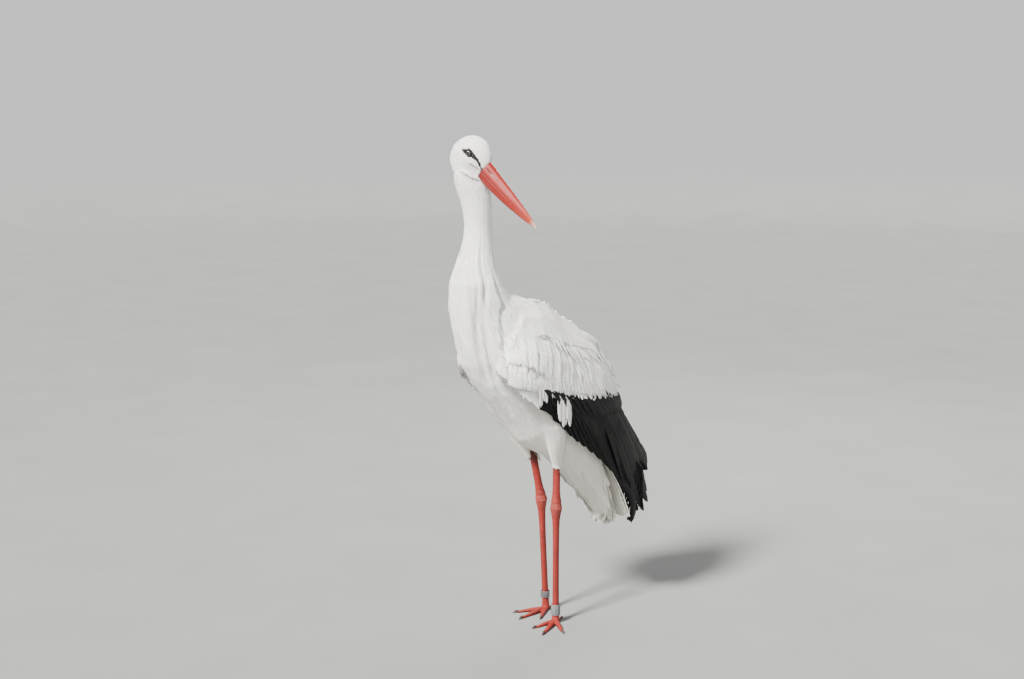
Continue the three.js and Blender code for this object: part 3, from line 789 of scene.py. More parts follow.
def build_skin():
    depth = np.array([COAT_DEPTH[name] for name in FLESH])[nearest_node(hull_points)]
    for _ in range(12):
        depth = neighbour_mean(depth, hull_quads)
    normals, gape = point_normals(hull_points, hull_quads), gape_share(hull_points)
    body = hull_points - normals * depth[:, None] * MM - normals * (gape * 1.2 * MM)[:, None]
    none = np.zeros(len(body))
    parts, colour = [(body, [hull_quads])], [np.where(patch_share(hull_points[hull_quads].mean(1)) > 0.5, 1, 0)]
    # The skin is painted a quarter of the way into shade, as it lies in the shade of the coat, and painted darker and
    # brown as shade along the crease at the corner of the mouth
    values = {"scale": [none], "chalk": [none], "cream": [cream_share(body)],
              "shade": [0.25 + 0.7 * gape], "crease_shade": [gape]}
    for side in SIDES:
        points, quads, height = leg(side)
        parts.append((points, [quads]))
        colour.append(np.full(len(quads), 2))
        up, none = points[:, 2] / MM, np.zeros(len(points))
        # The shade row is painted shade at the top of each shank, where it goes in under the feathers of the belly
        rows = 0.35 + 0.65 * height, 0.1 + 0.2 * bell(up - HOCK_LEVEL, 16), none, 0.85 * smooth(up, 318, 350), none
        for key, row in zip(values, rows):
            values[key].append(row)
    for dir in SIDES.values():
        points, quads = lid(dir)
        parts.append((points, [quads]))
        colour.append(np.ones(len(quads)))
        for rows in values.values():
            rows.append(np.zeros(len(points)))
    points, faces = joined(parts)
    skin = piece("skin", points, faces, [WHITE, DARK_SKIN, LEG], "white_plumage",
                 {key: np.concatenate(rows) for key, rows in values.items()},
                 {"Vane": np.zeros((len(points), 2))}, np.concatenate(colour))
    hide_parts(*FLESH, *(f"{n}_{side}" for n in LEG_NODES for side in SIDES))


def eye_frame(dir):
    """The eye's centre, and its axes out of the head, ahead and up."""
    out = unit(on_head(2.2, dir * 10, 0.6) - on_head(0, 0, 0))
    ahead = unit(on_head(10, 0, -3.2) - on_head(0, 0, 0))
    ahead = unit(ahead - out * (ahead @ out))
    return on_head(EYE_AT[0], dir * EYE_AT[1], EYE_AT[2]), out, ahead, np.cross(ahead, out) * -dir


def lid(dir):
    """The rim of bare skin round the eye: a soft roll, longer than it is high, with a fold behind it."""
    centre, out, ahead, up = eye_frame(dir)
    turn = np.linspace(0, ROUND, 56, endpoint=False)
    rings = []
    for a in np.linspace(0, ROUND, 14, endpoint=False):
        reach, lift = 5.5 + 1.5 * math.cos(a), 5.4 + 1.15 * math.sin(a)
        across = reach * (1 + 0.07 * np.cos(2 * turn)) + 0.5 * np.maximum(np.cos(turn), 0) ** 8
        flat = (across * np.cos(turn))[:, None] * ahead + (across * np.sin(turn))[:, None] * up
        rings.append(centre + (flat + lift * out) * MM)
    points, quads = np.concatenate(rings), grid(len(rings), len(turn), True)
    return points, quads[:, ::-1] if inside_out(points, quads) else quads


def build_eye(side, dir):
    centre, out, ahead, up = eye_frame(dir)
    turn = np.linspace(0, ROUND, 48, endpoint=False)[None, :, None]
    polar = np.linspace(0.02, math.pi - 0.02, 36)
    bulge = EYE_RADIUS + 0.5 * bell(polar, 0.5)  # the cornea stands out a little
    rings = centre + MM * ((bulge * np.sin(polar))[:, None, None] * (np.cos(turn) * ahead + np.sin(turn) * up)
                           + (bulge * np.cos(polar))[:, None, None] * out)
    points, faces = loft(rings)
    radial = np.concatenate([np.repeat(polar, turn.size), [0, math.pi]]) / IRIS_EDGE
    eye = piece(f"eyeball_{side}", points, faces, [EYE], "eye", {"radial": np.clip(radial, 0, 1)})
    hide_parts(f"eye_{side}")


# ------------------------------------------------------------------ bill

BILL_LENGTH = 164.0
BILL_BASE_WIDTH = 28.0
BILL_DEPTH = {"upper": 23.5, "lower": 20.0}
BILL_FROM, BILL_DROP = 36.0, -5.0  # ahead of and above the head's centre
# Share of the length, of the base width, of the upper depth and of the lower depth
BILL = [(-0.16, 0.95, 0.95, 0.9), (0, 1, 1, 1), (0.2, 0.86, 0.86, 0.95), (0.45, 0.66, 0.68, 0.82),
        (0.7, 0.43, 0.47, 0.56), (0.88, 0.22, 0.27, 0.3), (1, 0.05, 0.06, 0.05)]
NOSTRIL = (0.05, 0.2, 0.56)  # from and to along the bill, and height on the upper mandible's side


def build_bill(jaw, dir):
    rows, sides = 110, 40
    share, width, upper, lower = curve(BILL, rows).T
    half = BILL_BASE_WIDTH / 2 * width
    height = BILL_DEPTH[jaw] * (upper if dir > 0 else lower)
    angle = np.linspace(0, math.pi, sides)
    lift = np.sin(angle)[None]  # 0 on the line of the mouth, 1 on the ridge
    if dir > 0:
        start, end, level = NOSTRIL
        slot = smooth(share, start, start + 0.02) * fall(share, end - 0.1, end)
        furrow = smooth(share, 0.1, 0.16) * fall(share, 0.35, 0.6)
        groove = slot[:, None] * bell(lift - level, 0.07) * 1.5 + furrow[:, None] * bell(lift - level, 0.12) * 0.35
    else:
        furrow = smooth(share, 0.0, 0.1) * fall(share, 0.4, 0.7)
        groove = furrow[:, None] * bell(lift - 0.45, 0.2) * 0.5
    rim = bell(lift, 0.1) * 0.25 * fall(share, 0.9, 1)[:, None]
    scale = 1 - (groove + rim) / np.maximum(half, 1.5)[:, None]
    left = np.cos(angle)[None] * half[:, None] * scale
    above = BILL_DROP + dir * (0.2 + lift * height[:, None] * scale)
    points, faces = loft(on_head((BILL_FROM + share * BILL_LENGTH)[:, None], left, above))
    # Painted shade in the nostril's slot and furrow on the upper mandible, and along the line of the mouth
    dark = np.clip(groove * 0.7 * (lift > 0.3) * (dir > 0) + 0.4 * bell(lift, 0.05), 0, 1)
    # A painted highlight: a paler, pinker band along the side of the upper mandible, fading towards the tip
    band = bell(lift - 0.5, 0.3) * (dir > 0) * fall(share, 0.5, 0.95)[:, None]
    bill = piece(f"mandible_{jaw}", points, faces, [HORN], "bill_horn", {
        "upper": np.append((0.75 * band).ravel(), [0, 0]),
        "along": np.append(np.repeat(np.clip(share, 0, 1), sides), [0, 1]),
        "shade": np.append(dark.ravel(), [0, 0]),
    })
    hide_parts(f"bill_{jaw}")


# ------------------------------------------------------------------ claws and leg rings

# Degrees from straight ahead, reach and radius of each toe
TOES = {"inner": (-30, 56, 6.2), "middle": (0, 77, 6.8), "outer": (31, 64, 6.2), "hind": (172, 26, 5)}
CLAW_LENGTH = 11.0
UP = np.array([0, 0, 1.0])


def build_claws(side, dir):
    forward, left, toe_out = FEET[side]
    for toe, (turn, reach, radius) in TOES.items():
        angle = math.radians(toe_out + turn)
        ahead = (at(math.cos(angle), dir * math.sin(angle), 0) - at(0, 0, 0)) / MM
        across = np.cross(ahead, UP)
        size = radius * 0.46
        t = np.linspace(-0.12, 1, 14)
        on = np.clip(t, 0, 1)
        r = size * np.sqrt(np.clip(1 - 0.94 * on**1.8, 0.01, 1))
        height = np.where(t < 0, size + 0.8, (size + 0.8) * (1 - t) + (r + 0.35) * t) + 0.5 * np.sin(np.pi * on)
        a = np.linspace(0, ROUND, 16, endpoint=False)[None, :, None]
        ring = np.cos(a) * across * 0.82 + np.sin(a) * np.where(np.sin(a) > 0, 1.1, 0.85) * UP
        far, height, r = (v[:, None, None] for v in (reach + CLAW_LENGTH * t, height, r))
        rings = at(forward, left, 0) + MM * (far * ahead + height * UP + r * ring)
        rings[..., 2] = np.maximum(rings[..., 2], 0.1 * MM)
        claw = piece(f"nail_{side}_{toe}", *loft(rings), [CLAW], "claw_horn")
        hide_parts(f"claw_{side}_{toe}")


def build_ring(side, material, slot):
    """A plain split ring with rounded rims and a fine seam."""
    low, high = (np.array(v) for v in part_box(f"leg_ring_{side}"))
    rim, wall = 0.35 * MM, 1.4 * MM
    outer, half_height = (high[0] - low[0]) / 2, (high[2] - low[2]) / 2
    a = np.linspace(0, math.pi / 2, 5)
    corner = together(np.cos(a), np.sin(a)) * rim
    top = np.concatenate([(outer - rim, half_height - rim) + corner,
                          (outer - wall + rim, half_height - rim) + corner[::-1] * (-1, 1)])
    profile = np.concatenate([top, top[::-1] * (1, -1)])
    turn = np.linspace(0.03, ROUND - 0.03, 72)[:, None]
    rings = together(np.cos(turn) * profile[:, 0], np.sin(turn) * profile[:, 0], profile[:, 1]) + (low + high) / 2
    ring = piece(f"band_{side}", *loft(rings), [material], slot)
    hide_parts(f"leg_ring_{side}")


# ------------------------------------------------------------------ small feathers

SIDE_TURN = 0.6  # how far a small feather's shading turns from the form's own at its edges
CREVICE = 6.0  # no feathers stand where two forms lie closer than this
# For each part of the coat: its nodes, and how far apart the feathers stand
COATS = {
    "coat_head": (["head"], 1.7),
    "coat_neck": (["neck_upper"], 2.25),
    "coat_breast": (["neck_lower"], 2.9),
    "coat_trunk": (["trunk"], 3.9),
    "coat_thigh_left": (["thigh_left"], 3.0),
    "coat_thigh_right": (["thigh_right"], 3.0),
    "coat_wing_left": (["wing_left_coverts"], 3.8),
    "coat_wing_right": (["wing_right_coverts"], 3.8),
}
# Length, half width and rise of the tips at shares along BODY_LINE
BODY_SHARE = [0, 0.08, 0.13, 0.22, 0.33, 0.44, 0.56, 0.67, 0.8, 0.9, 1]
BODY_SIZES = [[7, 9, 13, 18, 25, 33, 38, 38, 42, 54, 60],
              [1.3, 1.5, 1.7, 2.0, 2.4, 2.9, 3.4, 3.9, 4.6, 5.6, 6],
              [0.3, 0.4, 0.45, 0.5, 0.65, 0.8, 0.9, 0.9, 0.7, 0.45, 0.35]]
UNDERTAIL_FROM = 0.86  # from this share of BODY_LINE on, the feathers run straight on over the tail
BODY_REACH = np.linalg.norm(np.diff(BODY_LINE, axis=0), axis=1).sum()
# The lower hem of the wing's feathers: forward, up
WING_HEM = np.array([COVERT_EDGE[1], (109, 515), (117, 498), (126, 488), (150, 512), (190, 540)])
TUFT_AT, TUFT_RADIUS, TUFT_LENGTH = (62, 522), 15, 76  # the white tuft that hangs over the black of the left wing
# Where along a feather its rings stand
TIMES = {"coat_head": (0, 0.28, 0.6, 0.88, 1)}
LONG_TIMES = (0, 0.2, 0.42, 0.68, 0.9, 1)


def measures(points, name):
    """Length, half width, rise and greatest length of the feather at each root, in millimetres."""
    forward, left, up = bird(points)
    if name == "coat_head":
        ahead, _, above = from_head(points)
        back, nape = smooth(30 - ahead, 0, 60), smooth(-above, 5, 40)
        return 3.8 + 5.0 * back + 3.0 * nape, 0.95 + 0.45 * back + 0.2 * nape, 0.2 + 0.15 * back, np.inf
    if "thigh" in name:
        low = fall(up, 350, 440)
        return 34 - 16 * low, 3.2 - 1.1 * low, 0.7 - 0.4 * low, np.inf
    if "wing" in name:
        upper = smooth(up, 560, 660)
        hanging = fall(up, 585, 625) * smooth(up, 530, 560) * smooth(forward, -60, 30)
        room = (up - np.interp(forward, WING_HEM[:, 0], WING_HEM[:, 1])) * 1.12 + RNG.uniform(3, 6, len(up))
        tuft = (np.hypot(forward - TUFT_AT[0], up - TUFT_AT[1]) < TUFT_RADIUS) & (left > 80)
        room = np.where(tuft, TUFT_LENGTH, np.maximum(room, 10))
        half = 3.6 - 0.6 * upper + 0.2 * hanging + 0.8 * (room < 45) + 2.0 * tuft
        return np.where(tuft, TUFT_LENGTH, 36 - 8 * upper + 14 * hanging), half, 0.7 + 0.5 * hanging, room
    along, angle, _ = body_place(points)
    length, half, rise = (np.interp(along, BODY_SHARE, row) for row in BODY_SIZES)
    hackle = fall(np.abs(angle), 0.8, 1.8) * smooth(along, 0.18, 0.34) * fall(along, 0.52, 0.68)
    return length * (1 + hackle), half * (1 - 0.1 * hackle), rise, (1 - along) * BODY_REACH + 34


def scattered(nodes, spacing):
    """Points on the hull nearest to these nodes, none closer together than spacing."""
    quads = hull_quads[np.isin(FACE_NODE, [FLESH.index(n) for n in nodes])]
    a, b, c, d = (hull_points[quads[:, i]] for i in range(4))
    area = np.linalg.norm(np.cross(c - a, d - b), axis=1) / 2
    count = int(area.sum() / (spacing * MM) ** 2 * 4)
    pick = RNG.choice(len(quads), count, p=area / area.sum())
    u, v = RNG.random((2, count, 1))
    points = (a[pick] * (1 - u) + b[pick] * u) * (1 - v) + (d[pick] * (1 - u) + c[pick] * u) * v
    cells, kept, near = {}, [], spacing * MM
    around = [(i, j, k) for i in (-1, 0, 1) for j in (-1, 0, 1) for k in (-1, 0, 1)]
    cell_of = np.floor(points / near).astype(int).tolist()
    for index, ((x, y, z), (px, py, pz)) in enumerate(zip(cell_of, points.tolist())):
        if not any((px - q[0]) ** 2 + (py - q[1]) ** 2 + (pz - q[2]) ** 2 < near * near
                   for i, j, k in around for q in cells.get((x + i, y + j, z + k), ())):
            cells.setdefault((x, y, z), []).append((px, py, pz))
            kept.append(index)
    return points[kept]


def open_to_air(points):
    """True where nothing of the body lies close over the surface."""
    place, normal = snapped(points)
    start = place + normal * MM
    clear = np.array([HULL.ray_cast(s, n, CREVICE * MM)[0] is None for s, n in zip(start.tolist(), normal.tolist())])
    return clear | (normal[:, 0] * np.sign(points[:, 0] - ORIGIN[0]) > 0.35)


def thigh_row(up, name):
    """The row of the thigh's line at the level of each point, and the way it runs there."""
    line = THIGH_LINE["left" if "left" in name else "right"]
    step = np.abs(up[:, None] - line[None, :, 2]).argmin(1)
    return line[step], unit(np.gradient(line, axis=0))[step]


def lie(points, name):
    """The way the coat lies at each point, before it is laid on the surface."""
    forward, _, up = bird(points)
    if name == "coat_head":
        ahead, _, above = from_head(points)
        back = HEAD_AXES[1] * smooth(ahead, -60, 10)[:, None]
        back = back + np.array([0, 0.05, -1.0]) * fall(ahead, -45, 20)[:, None]
        return unit(back + HEAD_AXES[2] * -0.25 * smooth(above, -10, -30)[:, None])
    if "thigh" in name:
        tangent = thigh_row(up, name)[1]
        return unit(together(tangent[:, 1], -tangent[:, 0], tangent[:, 2]))
    if "wing" in name:
        return unit(together(0, 0.1 + 0.3 * smooth(60 - forward, 0, 160) + 0.75 * smooth(up, 590, 690), -1))
    tangent = BODY_TANGENT[np.rint(body_place(points)[0] * (len(BODY_LINE) - 1)).astype(int)]
    return unit(together(0, -tangent[:, 0], tangent[:, 1]))


def unwrap(points, name):
    """A place from 0 to 1 on an unwrap of the skin's own shape for each root."""
    forward, left, up = bird(points)
    if name == "coat_head":
        ahead, beside, above = from_head(points)
        around, along = np.arctan2(beside, above) / ROUND + 0.5, ahead
    elif "thigh" in name:
        middle = thigh_row(up, name)[0]
        around, along = np.arctan2(left - middle[:, 1], forward - middle[:, 0]) / ROUND + 0.5, up
    elif "wing" in name:
        inner = snapped(points)[1][:, 0] * np.sign(left) < 0
        around, along = forward + 300 * inner, up
    else:
        along, angle, _ = body_place(points)
        around = angle / ROUND + 0.5
    return together(*((v - v.min()) / max(v.max() - v.min(), 1e-9) for v in (around, along))) * 0.97 + 0.01


def feather_mesh(lines, normals, half, ridge, droop):
    """Closed thin vanes along lines (n, k, 3): three-sided between a root point and a tip point.
    half, ridge and droop are (n, k): half width, height of the shaft and drop of the edges, in metres."""
    n, k = lines.shape[:2]
    ahead = unit(np.gradient(lines, axis=1))
    across = unit(np.cross(ahead, normals))
    up = np.cross(across, ahead)
    inner = slice(1, k - 1)
    low = lines[:, inner] - up[:, inner] * droop[:, inner, None]
    out = across[:, inner] * half[:, inner, None]
    rings = np.stack([low + out, lines[:, inner] + up[:, inner] * ridge[:, inner, None], low - out], 2)
    points = np.concatenate([lines[:, :1], rings.reshape(n, -1, 3), lines[:, -1:]], 1)
    per = points.shape[1]
    base = np.arange(n)[:, None, None] * per
    start = 1 + np.arange(k - 3) * 3
    sides = ((0, 1), (1, 2), (2, 0))
    quads = np.concatenate([np.stack([start + a, start + 3 + a, start + 3 + b, start + b], -1) for a, b in sides])
    end, last = per - 1, per - 4
    tips = np.array([(0, 1, 2), (0, 2, 3), (0, 3, 1),
                     (end, last + 1, last), (end, last + 2, last + 1), (end, last, last + 2)])
    along = np.repeat(np.linspace(0, 1, k)[inner], 3)
    vane = np.concatenate([[(0.5, 0)], together(np.tile([0.0, 0.5, 1.0], k - 2), along), [(0.5, 1)]])
    return points.reshape(-1, 3), [(base + quads).reshape(-1, 4), (base + tips).reshape(-1, 3)], vane, per


def may_go_free(points, name):
    """True where a feather may run past the end of a form, and hang there, instead of bending round it."""
    forward, _, up = bird(points)
    if "thigh" in name:
        return up < 0
    if "wing" in name:
        distance, share, off, _ = line_distance(one_side(points), SCAPULAR_HEM)
        fringe = (distance < 26) & (off[:, 2] > 0) & (share > 0.2) & (share < 0.9)
        return (forward < 125) & (up < 575) | fringe
    return (body_place(points)[0] > 0.8) & (name == "coat_trunk")


def rooted(name):
    """The roots of a coat's feathers."""
    roots = scattered(*COATS[name])
    if name == "coat_head":
        roots = roots[~((patch_share(roots) > 0.35) | (gape_share(roots) > 0.4) | (from_head(roots)[0] > 38))]
    if name == "coat_trunk":
        end_on = np.einsum("ij,ij->i", snapped(roots)[1], lie(roots, name)) > 0.55
        roots = roots[~(end_on & (body_place(roots)[0] > 0.9))]
    return roots[open_to_air(roots)]


def marched(roots, size, t, name):
    """Lines over the hull from the roots, size millimetres long, and the hull's normals along them."""
    place, normal = snapped(roots)
    forward, left, up = bird(roots)
    turn = RNG.normal(0, 0.09, len(roots)) + 0.12 * ripple(forward / 23 + left / 31, 21) * ripple(up / 37, 22)
    turn = turn[:, None] * (0.6 if name == "coat_head" else 1)
    straight = (body_place(roots)[0] > UNDERTAIL_FROM) & (name == "coat_trunk")
    way = lie(place, name)
    way = unit(way + np.cross(normal, way) * turn)
    lines, normals = [place], [normal]
    free_end = may_go_free(roots, name)
    for step in range(1, len(t)):
        way = unit(way - normal * np.einsum("ij,ij->i", way, normal)[:, None])
        stride = size * (t[step] - t[step - 1]) * MM
        ahead_of = lines[-1] + way * stride[:, None]
        place, normal = snapped(ahead_of)
        # past the end of a form, such as a thigh's hem, the feather goes straight on
        free = (np.linalg.norm(place - ahead_of, axis=1) > 0.35 * stride) & free_end
        free = (free | straight & (step > 1))[:, None]
        place, normal = np.where(free, ahead_of, place), np.where(free, normals[-1], normal)
        lines.append(place)
        normals.append(normal)
        way = np.where(straight[:, None], way, unit(0.7 * way + 0.3 * lie(place, name)))
    return np.stack(lines, 1), np.stack(normals, 1)


def coat_tints(points, name):
    """How much darker and how much more yellowish each point is: painted shade in streaks under the scapulars' hem,
    on a band above that hem and in the breast's grooves, and yellowish streaks on the wing and the front of the
    breast.
    """
    forward, left, up = bird(points)
    if "wing" in name:
        # painted shade in streaks between the long coverts that hang below the scapulars' hem
        below = fall(up, 575, 625) * smooth(up, 480, 520) * smooth(forward, -140, -20)
        streaky = ripple(forward / 8 + up / 90 + 0.3 * ripple(up / 40, 51), 52)
        streaky += 0.5 * ripple(forward / 3.5 + up / 60, 53)
        # painted shade on a band of the mantle above the scapulars' hem
        distance, share, off, _ = line_distance(one_side(points), SCAPULAR_HEM)
        over = bell(distance - 46, 26) * (off[:, 2] > 0) * smooth(share, 0.1, 0.35)
        return 0.75 * np.clip(streaky, 0, 1) * below + 0.3 * over, 0.12 * np.clip(-streaky, 0, 1)
    if name not in ("coat_neck", "coat_breast", "coat_trunk"):
        return 0.0, 0.0
    # painted shade, greyer and browner, down the grooves of the breast
    streak = np.zeros(len(points))
    for line in BREAST_GROOVES:
        distance, share, *_ = line_distance(one_side(points), line)
        streak = np.maximum(streak, bell(distance, 8) * smooth(share, 0, 0.25) * fall(share, 0.8, 1))
    front = fall(np.abs(body_place(points)[1]), 1.0, 1.6)
    streaky = ripple(left / 6 + 0.4 * ripple(up / 50, 31), 32) * ripple(up / 70, 33)
    yellow = 0.25 * front * np.clip(streaky, 0, 1) * smooth(up, 480, 560) * fall(up, 800, 860)
    return 0.35 * streak, 0.45 * streak + yellow


def build_coat(name):
    roots = rooted(name)
    size, width, rise, room = measures(roots, name)
    size = np.minimum(size * RNG.uniform(0.82, 1.18, len(roots)), room)
    width = width * RNG.uniform(0.85, 1.15, len(roots))
    t = np.array(TIMES.get(name, LONG_TIMES))
    k = len(t)
    lines, normals = marched(roots, size, t, name)
    if name == "coat_head":
        clear = ~np.any([patch_share(lines[:, step]) > 0.5 for step in range(2, k)], axis=0)
        lines, normals, roots, width, rise = (v[clear] for v in (lines, normals, roots, width, rise))
    depth = np.array([COAT_DEPTH[n] for n in COATS[name][0]]).mean()
    lifted = (rise * RNG.uniform(0.1, 1.2, len(roots)))[:, None] * t - depth * 0.75 * fall(t, 0, 0.5) - 0.6
    lines = lines + normals * (lifted * MM)[..., None]
    widths = width[:, None] * np.interp(t, [0, 0.2, 0.5, 0.7, 0.9, 1], [0.2, 0.85, 1, 0.92, 0.6, 0.1]) * MM
    points, faces, vane, per = feather_mesh(lines, normals, widths, widths * 0.1 + 0.08 * MM, widths * 0.14)
    # soft shading, which follows the form and turns over on the undersides
    across = unit(np.cross(unit(np.gradient(lines, axis=1)), normals))[:, 1:-1, None]
    inner = normals[:, 1:-1, None] + across * np.array([SIDE_TURN, 0, -SIDE_TURN])[:, None]
    inner = inner.reshape(len(lines), -1, 3)
    soft = unit(np.concatenate([normals[:, :1], inner, normals[:, -1:]], 1).reshape(-1, 3))
    under = [np.tile(np.repeat([1, 1, -1], k - 3), len(lines)), np.tile([1, 1, -1, 1, 1, -1], len(lines))]
    count = len(roots)
    uv = unwrap(roots, name)[:, None] + (vane[None] - 0.5) * 0.003
    # Painted shade: darker towards each feather's root, where it lies under the feathers over it, and in the streaks
    # and folds of coat_tints. Each feather also has its own random tone
    darker, yellower = coat_tints(points, name)
    root_shade = np.tile(0.18 * fall(vane[:, 1], 0.0, 0.6), count)
    shade = np.repeat(np.clip(RNG.normal(0.07, 0.09, count), 0, 0.4), per) + darker + root_shade
    cream = cream_share(points) + np.repeat(RNG.normal(0, 0.06, count), per) + yellower
    on_head = name in ("coat_head", "coat_neck")
    # painted brown shade in the crease at the corner of the mouth and under the edge of the cheek
    crease_shade = 0.75 * gape_share(points, 1.3) + 0.3 * jaw_share(points) if on_head else 0 * cream
    coat = piece(name, points, faces, [WHITE], "white_plumage",
                 {"shade": np.clip(shade, 0, 1), "cream": np.clip(cream, 0, 1), "crease_shade": np.clip(crease_shade, 0, 1)},
                 {"OFBake": uv.reshape(-1, 2), "Vane": np.tile(vane, (count, 1))})
    corners = np.concatenate([(soft[f] * turned[:, None, None]).reshape(-1, 3) for f, turned in zip(faces, under)])
    coat.data.normals_split_custom_set(corners)


# ------------------------------------------------------------------ large feathers


VANE_ROWS, VANE_THICKNESS = 30, 0.7


def large_vanes(name, feathers, material, slot, tip=(0.8, 0.42, 0.05)):
    """Long feathers as thin closed vanes with a shaft. Each is (line (k, 3), out (3,), half width, shade, seed)."""
    columns = np.array([-1.0, -0.72, -0.4, -0.12, 0.0, 0.12, 0.4, 0.72, 1.0])
    t = np.linspace(0, 1, VANE_ROWS)
    outline = np.interp(t, [0, 0.08, 0.3, 0.8, 0.92, 0.98, 1], [0.25, 0.7, 0.95, 1, *tip])
    local = together(np.concatenate([columns, columns[::-1]]) / 2 + 0.5, t[:, None]).reshape(-1, 2)
    local = np.concatenate([local, [(0.5, 0), (0.5, 1)]])
    parts, shade, bake = [], [], []
    for number, (line, out, half, tone, seed) in enumerate(feathers):
        rng = np.random.default_rng(seed)
        line = curve(line, VANE_ROWS)
        ahead = unit(np.gradient(line, axis=0))
        across = unit(np.cross(ahead, out))
        up = np.cross(across, ahead)
        splits = np.ones((VANE_ROWS, 2))
        for edge in range(2):
            for place in rng.integers(8, VANE_ROWS - 3, 3):
                splits[place, edge] = rng.uniform(0.72, 0.9)
        edge = np.where(columns < 0, splits[:, :1], splits[:, 1:])
        x = columns * np.where(np.abs(columns) > 0.9, edge, 1) * (half * outline)[:, None]
        shaft = bell(columns, 0.1) * 0.8 * (1 - t[:, None])
        camber = -0.1 * half * columns**2
        body = VANE_THICKNESS * (1 - 0.7 * np.abs(columns)) * (1 - 0.6 * t[:, None])
        flat = line[:, None] + across[:, None] * (x * MM)[..., None]
        top, low = (flat + up[:, None] * (h * MM)[..., None] for h in (camber + body / 2 + shaft, camber - body / 2))
        parts.append(loft(np.concatenate([top, low[:, ::-1]], 1)))
        bake.append((local * (0.9, 0.9) + (number + 0.05, 0.05)) / (len(feathers), 1))
        # A vane's edges go further along the shade layer: a painted highlight on the black feathers, and painted
        # shade where the white tail's feathers overlap. tone is each feather's own
        shade.append(np.clip(tone + 0.35 * smooth(np.abs(local[:, 0] - 0.5), 0.4, 0.5) * 0.5, 0, 1))
    points, faces = joined(parts)
    return piece(name, points, faces, [material], slot,
                 {"shade": np.concatenate(shade), "cream": cream_share(points)},
                 {"OFBake": np.concatenate(bake), "Vane": np.tile(local * (1, 4), (len(parts), 1))})


def wing_surface(side, dir):
    """A function that gives the outer side of a folded wing at (forward, up), from the CAD nodes of that wing."""
    tree, _ = cad_tree([f"wing_{side}_flight", f"wing_{side}_coverts"])

    def left_at(forward, up, fallback):
        hit = tree.ray_cast(Vector(at(forward, dir * 300, up)), Vector((-dir, 0, 0)))[0]
        return fallback if hit is None else (hit.x - ORIGIN[0]) / MM * dir

    return left_at


# The lower outline of the folded wing, seen from the side, where the flight feathers end one after the other:
# forward, up, and left of the bird's middle
FLIGHT_EDGE = [(84, 476, 94), (52, 444, 92), (12, 409, 88), (-33, 379, 84), (-88, 339, 78), (-140, 294, 71),
               (-170, 250, 67), (-180, 214, 62), (-184, 186, 55)]
FLIGHT_TIPS = [(-206, 208, 50), (-234, 205, 49), (-246, 234, 45), (-236, 262, 43), (-252, 290, 36), (-256, 308, 30),
               (-248, 328, 25), (-226, 350, 21), (-199, 378, 17)]
# No flight feather lies in front of this: forward, up
LOWEST = np.array([(200, 560)] + [row[:2] for row in FLIGHT_EDGE], float)
GREATER_COVERTS = 16
LINING_VOXEL, LINING_SINK = 2.4, 2.2
LINING_BLACK_FROM = 114  # ahead of this the inside of the wing is white


def feather_line(left_at, start, end, dir, layer, bend=0.0, sink=8.0, inside=0.0):
    """A line over the wing's surface from start (forward, up) to end (forward, up, left), layer millimetres out,
    and at least inside millimetres behind the wing's lower outline on its way."""
    t = np.linspace(0, 1, 13)
    forward = start[0] + (end[0] - start[0]) * t
    up = start[1] + (end[1] - start[1]) * t
    normal = unit(np.array([-(end[1] - start[1]), end[0] - start[0]], float))
    forward, up = forward + normal[0] * bend * np.sin(np.pi * t), up + normal[1] * bend * np.sin(np.pi * t)
    limit = np.interp(-up, -LOWEST[:, 1], LOWEST[:, 0]) - inside * fall(t, 0.9, 1)
    forward = np.where(t > 0, np.minimum(forward, limit), forward)
    forward = np.polyval(np.polyfit(t, forward, 5), t)
    first = left_at(start[0], start[1], end[2])
    guess = first + (end[2] - first) * t
    left = np.array([left_at(f, u, g) for f, u, g in zip(forward, up, guess)])
    weight = smooth(t, 0.6, 1.0)
    left = left * (1 - weight) + guess * weight
    left = np.polyval(np.polyfit(t, left, 3), t)
    return at(forward, dir * (left + layer - sink * fall(t, 0.05, 0.45)), up)


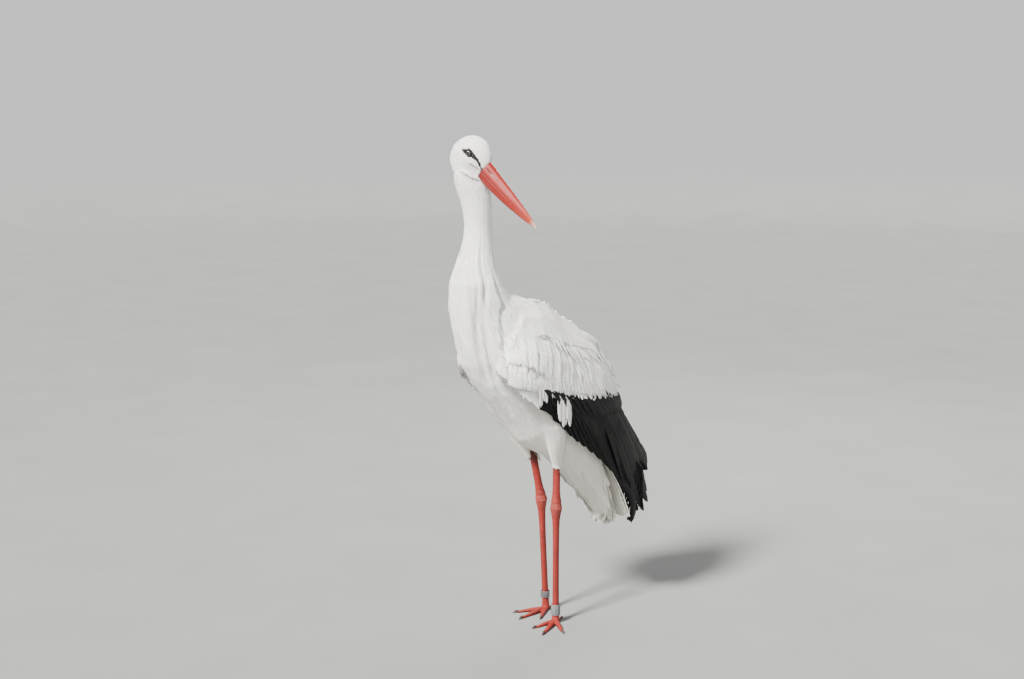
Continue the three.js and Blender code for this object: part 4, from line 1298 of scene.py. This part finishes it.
def build_flight(side, dir):
    left_at = wing_surface(side, dir)
    ends = np.concatenate([curve(FLIGHT_EDGE, 18), curve(FLIGHT_TIPS, 11)])
    out = np.array([dir, 0.12, 0.2])
    feathers = []
    hem = COVERT_EDGE[1] - COVERT_EDGE[0]
    for i, end in enumerate(ends):
        share = i / (len(ends) - 1)
        start = COVERT_EDGE[0] + hem * (0.03 + 0.92 * share**1.25) + (0, 24 - 14 * smooth(share, 0.5, 0.85))
        half = 14 - 4 * (share - 0.62) / 0.38 if share > 0.62 else 10.5 + 4 * math.sin(math.pi * min(share * 1.3, 1))
        line = feather_line(left_at, start, end, dir, -1.5 + 2.4 * share, 6 * (1 - share), inside=0.5 * half)
        feathers.append((line, out, half, 0.05 + 0.1 * (i % 3 == 0), 100 + i))
    # the greater coverts, black and round-tipped, lie over the bases of the flight feathers
    for i in range(GREATER_COVERTS):
        share = i / (GREATER_COVERTS - 1)
        start = COVERT_EDGE[0] + hem * (0.02 + 0.93 * share) + (4, 24 - 14 * smooth(share, 0.6, 0.9))
        end = start + np.array([-0.62 - 0.1 * share, -0.78]) * (58 + 34 * math.sin(math.pi * min(share + 0.1, 1)))
        line = feather_line(left_at, start, (*end, left_at(end[0], end[1], 60)), dir, 1.2 + 0.8 * share)
        feathers.append((line, out, 11.5, 0.12, 200 + i))
    flight = large_vanes(f"flight_feathers_{side}", feathers, BLACK, "black_plumage")
    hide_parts(f"wing_{side}_flight")
    points, quads = remeshed([f"wing_{side}_flight"], LINING_VOXEL * MM, 0, 6)
    points = points - point_normals(points, quads) * LINING_SINK * MM
    under = piece(f"wing_lining_{side}", points, [quads], [BLACK, WHITE], "black_plumage",
                  {"shade": np.zeros(len(points))}, {"Vane": np.zeros((len(points), 2))},
                  bird(points[quads].mean(1))[0] > LINING_BLACK_FROM)
    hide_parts(f"wing_{side}_flight")


TAIL_ROOT, TAIL_END = np.array((-74, 376.0)), np.array((-174, 191.0))  # forward, up
TAIL_HALF = 40.5  # half width at the root
TAIL_LENGTH = 210
TAIL_FEATHERS, TAIL_FEATHER_HALF = 12, 16.5


def build_tail():
    feathers = []
    axis = unit(TAIL_END - TAIL_ROOT)
    back = np.array([axis[1], -axis[0]])
    t = np.linspace(0, 1, 8)
    half = TAIL_HALF + 17 * t + 16 * np.sin(math.pi * t)
    middle = (TAIL_FEATHERS - 1) / 2
    for i in range(TAIL_FEATHERS):
        x = (i - middle) / middle  # -1 to 1 across the tail
        reach = t * (TAIL_LENGTH - 14 * x * x)
        arch = 12 - 2 * x * x - 3.5 * abs(x) - 1.0
        forward, up = (TAIL_ROOT[j] + axis[j] * reach + back[j] * arch for j in (0, 1))
        out = unit(np.array([0.35 * x, -back[0], back[1]]))
        feathers.append((at(forward, x * half, up), out, TAIL_FEATHER_HALF, 0.03, 300 + i))
    tail = large_vanes("tail_feathers", feathers, WHITE, "white_plumage", tip=(0.96, 0.8, 0.3))
    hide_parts("tail")


# ------------------------------------------------------------------ the whole bird

FACE_NODE = nearest_node(hull_points[hull_quads].mean(1))
build_skin()
for side_name, side_dir in SIDES.items():
    build_eye(side_name, side_dir)
    build_claws(side_name, side_dir)
    build_flight(side_name, side_dir)
build_ring("left", RING_PALE, "ring_pale")
build_ring("right", RING_METAL, "ring_metal")
build_bill("upper", 1)
build_bill("lower", -1)
build_tail()
for coat_name in COATS:
    build_coat(coat_name)

# A flat floor that curves up into a low wall all round, in metres
FLOOR_RADIUS, WALL_BEND, FLOOR_SIDES = 10, 5, 96
bend = np.linspace(0, math.pi / 2, 13)
wall = together(FLOOR_RADIUS + WALL_BEND * np.sin(bend), WALL_BEND - WALL_BEND * np.cos(bend))
profile = np.concatenate([[(0.01, 0)], wall])
turn = np.linspace(0, ROUND, FLOOR_SIDES + 1)[:-1]
rings = together(profile[:, :1] * np.cos(turn), profile[:, :1] * np.sin(turn), profile[:, 1:])
floor_mesh = bpy.data.meshes.new("floor")
floor_faces = grid(len(profile), len(turn))[:, ::-1].tolist() + [list(range(len(turn)))]
floor_mesh.from_pydata(rings.reshape(-1, 3).tolist(), [], floor_faces)
floor_mesh.shade_smooth()
floor_mesh.materials.append(floor_surface())
floor = placed("floor", floor_mesh)
floor.visible_shadow = False  # its wall would shade the floor
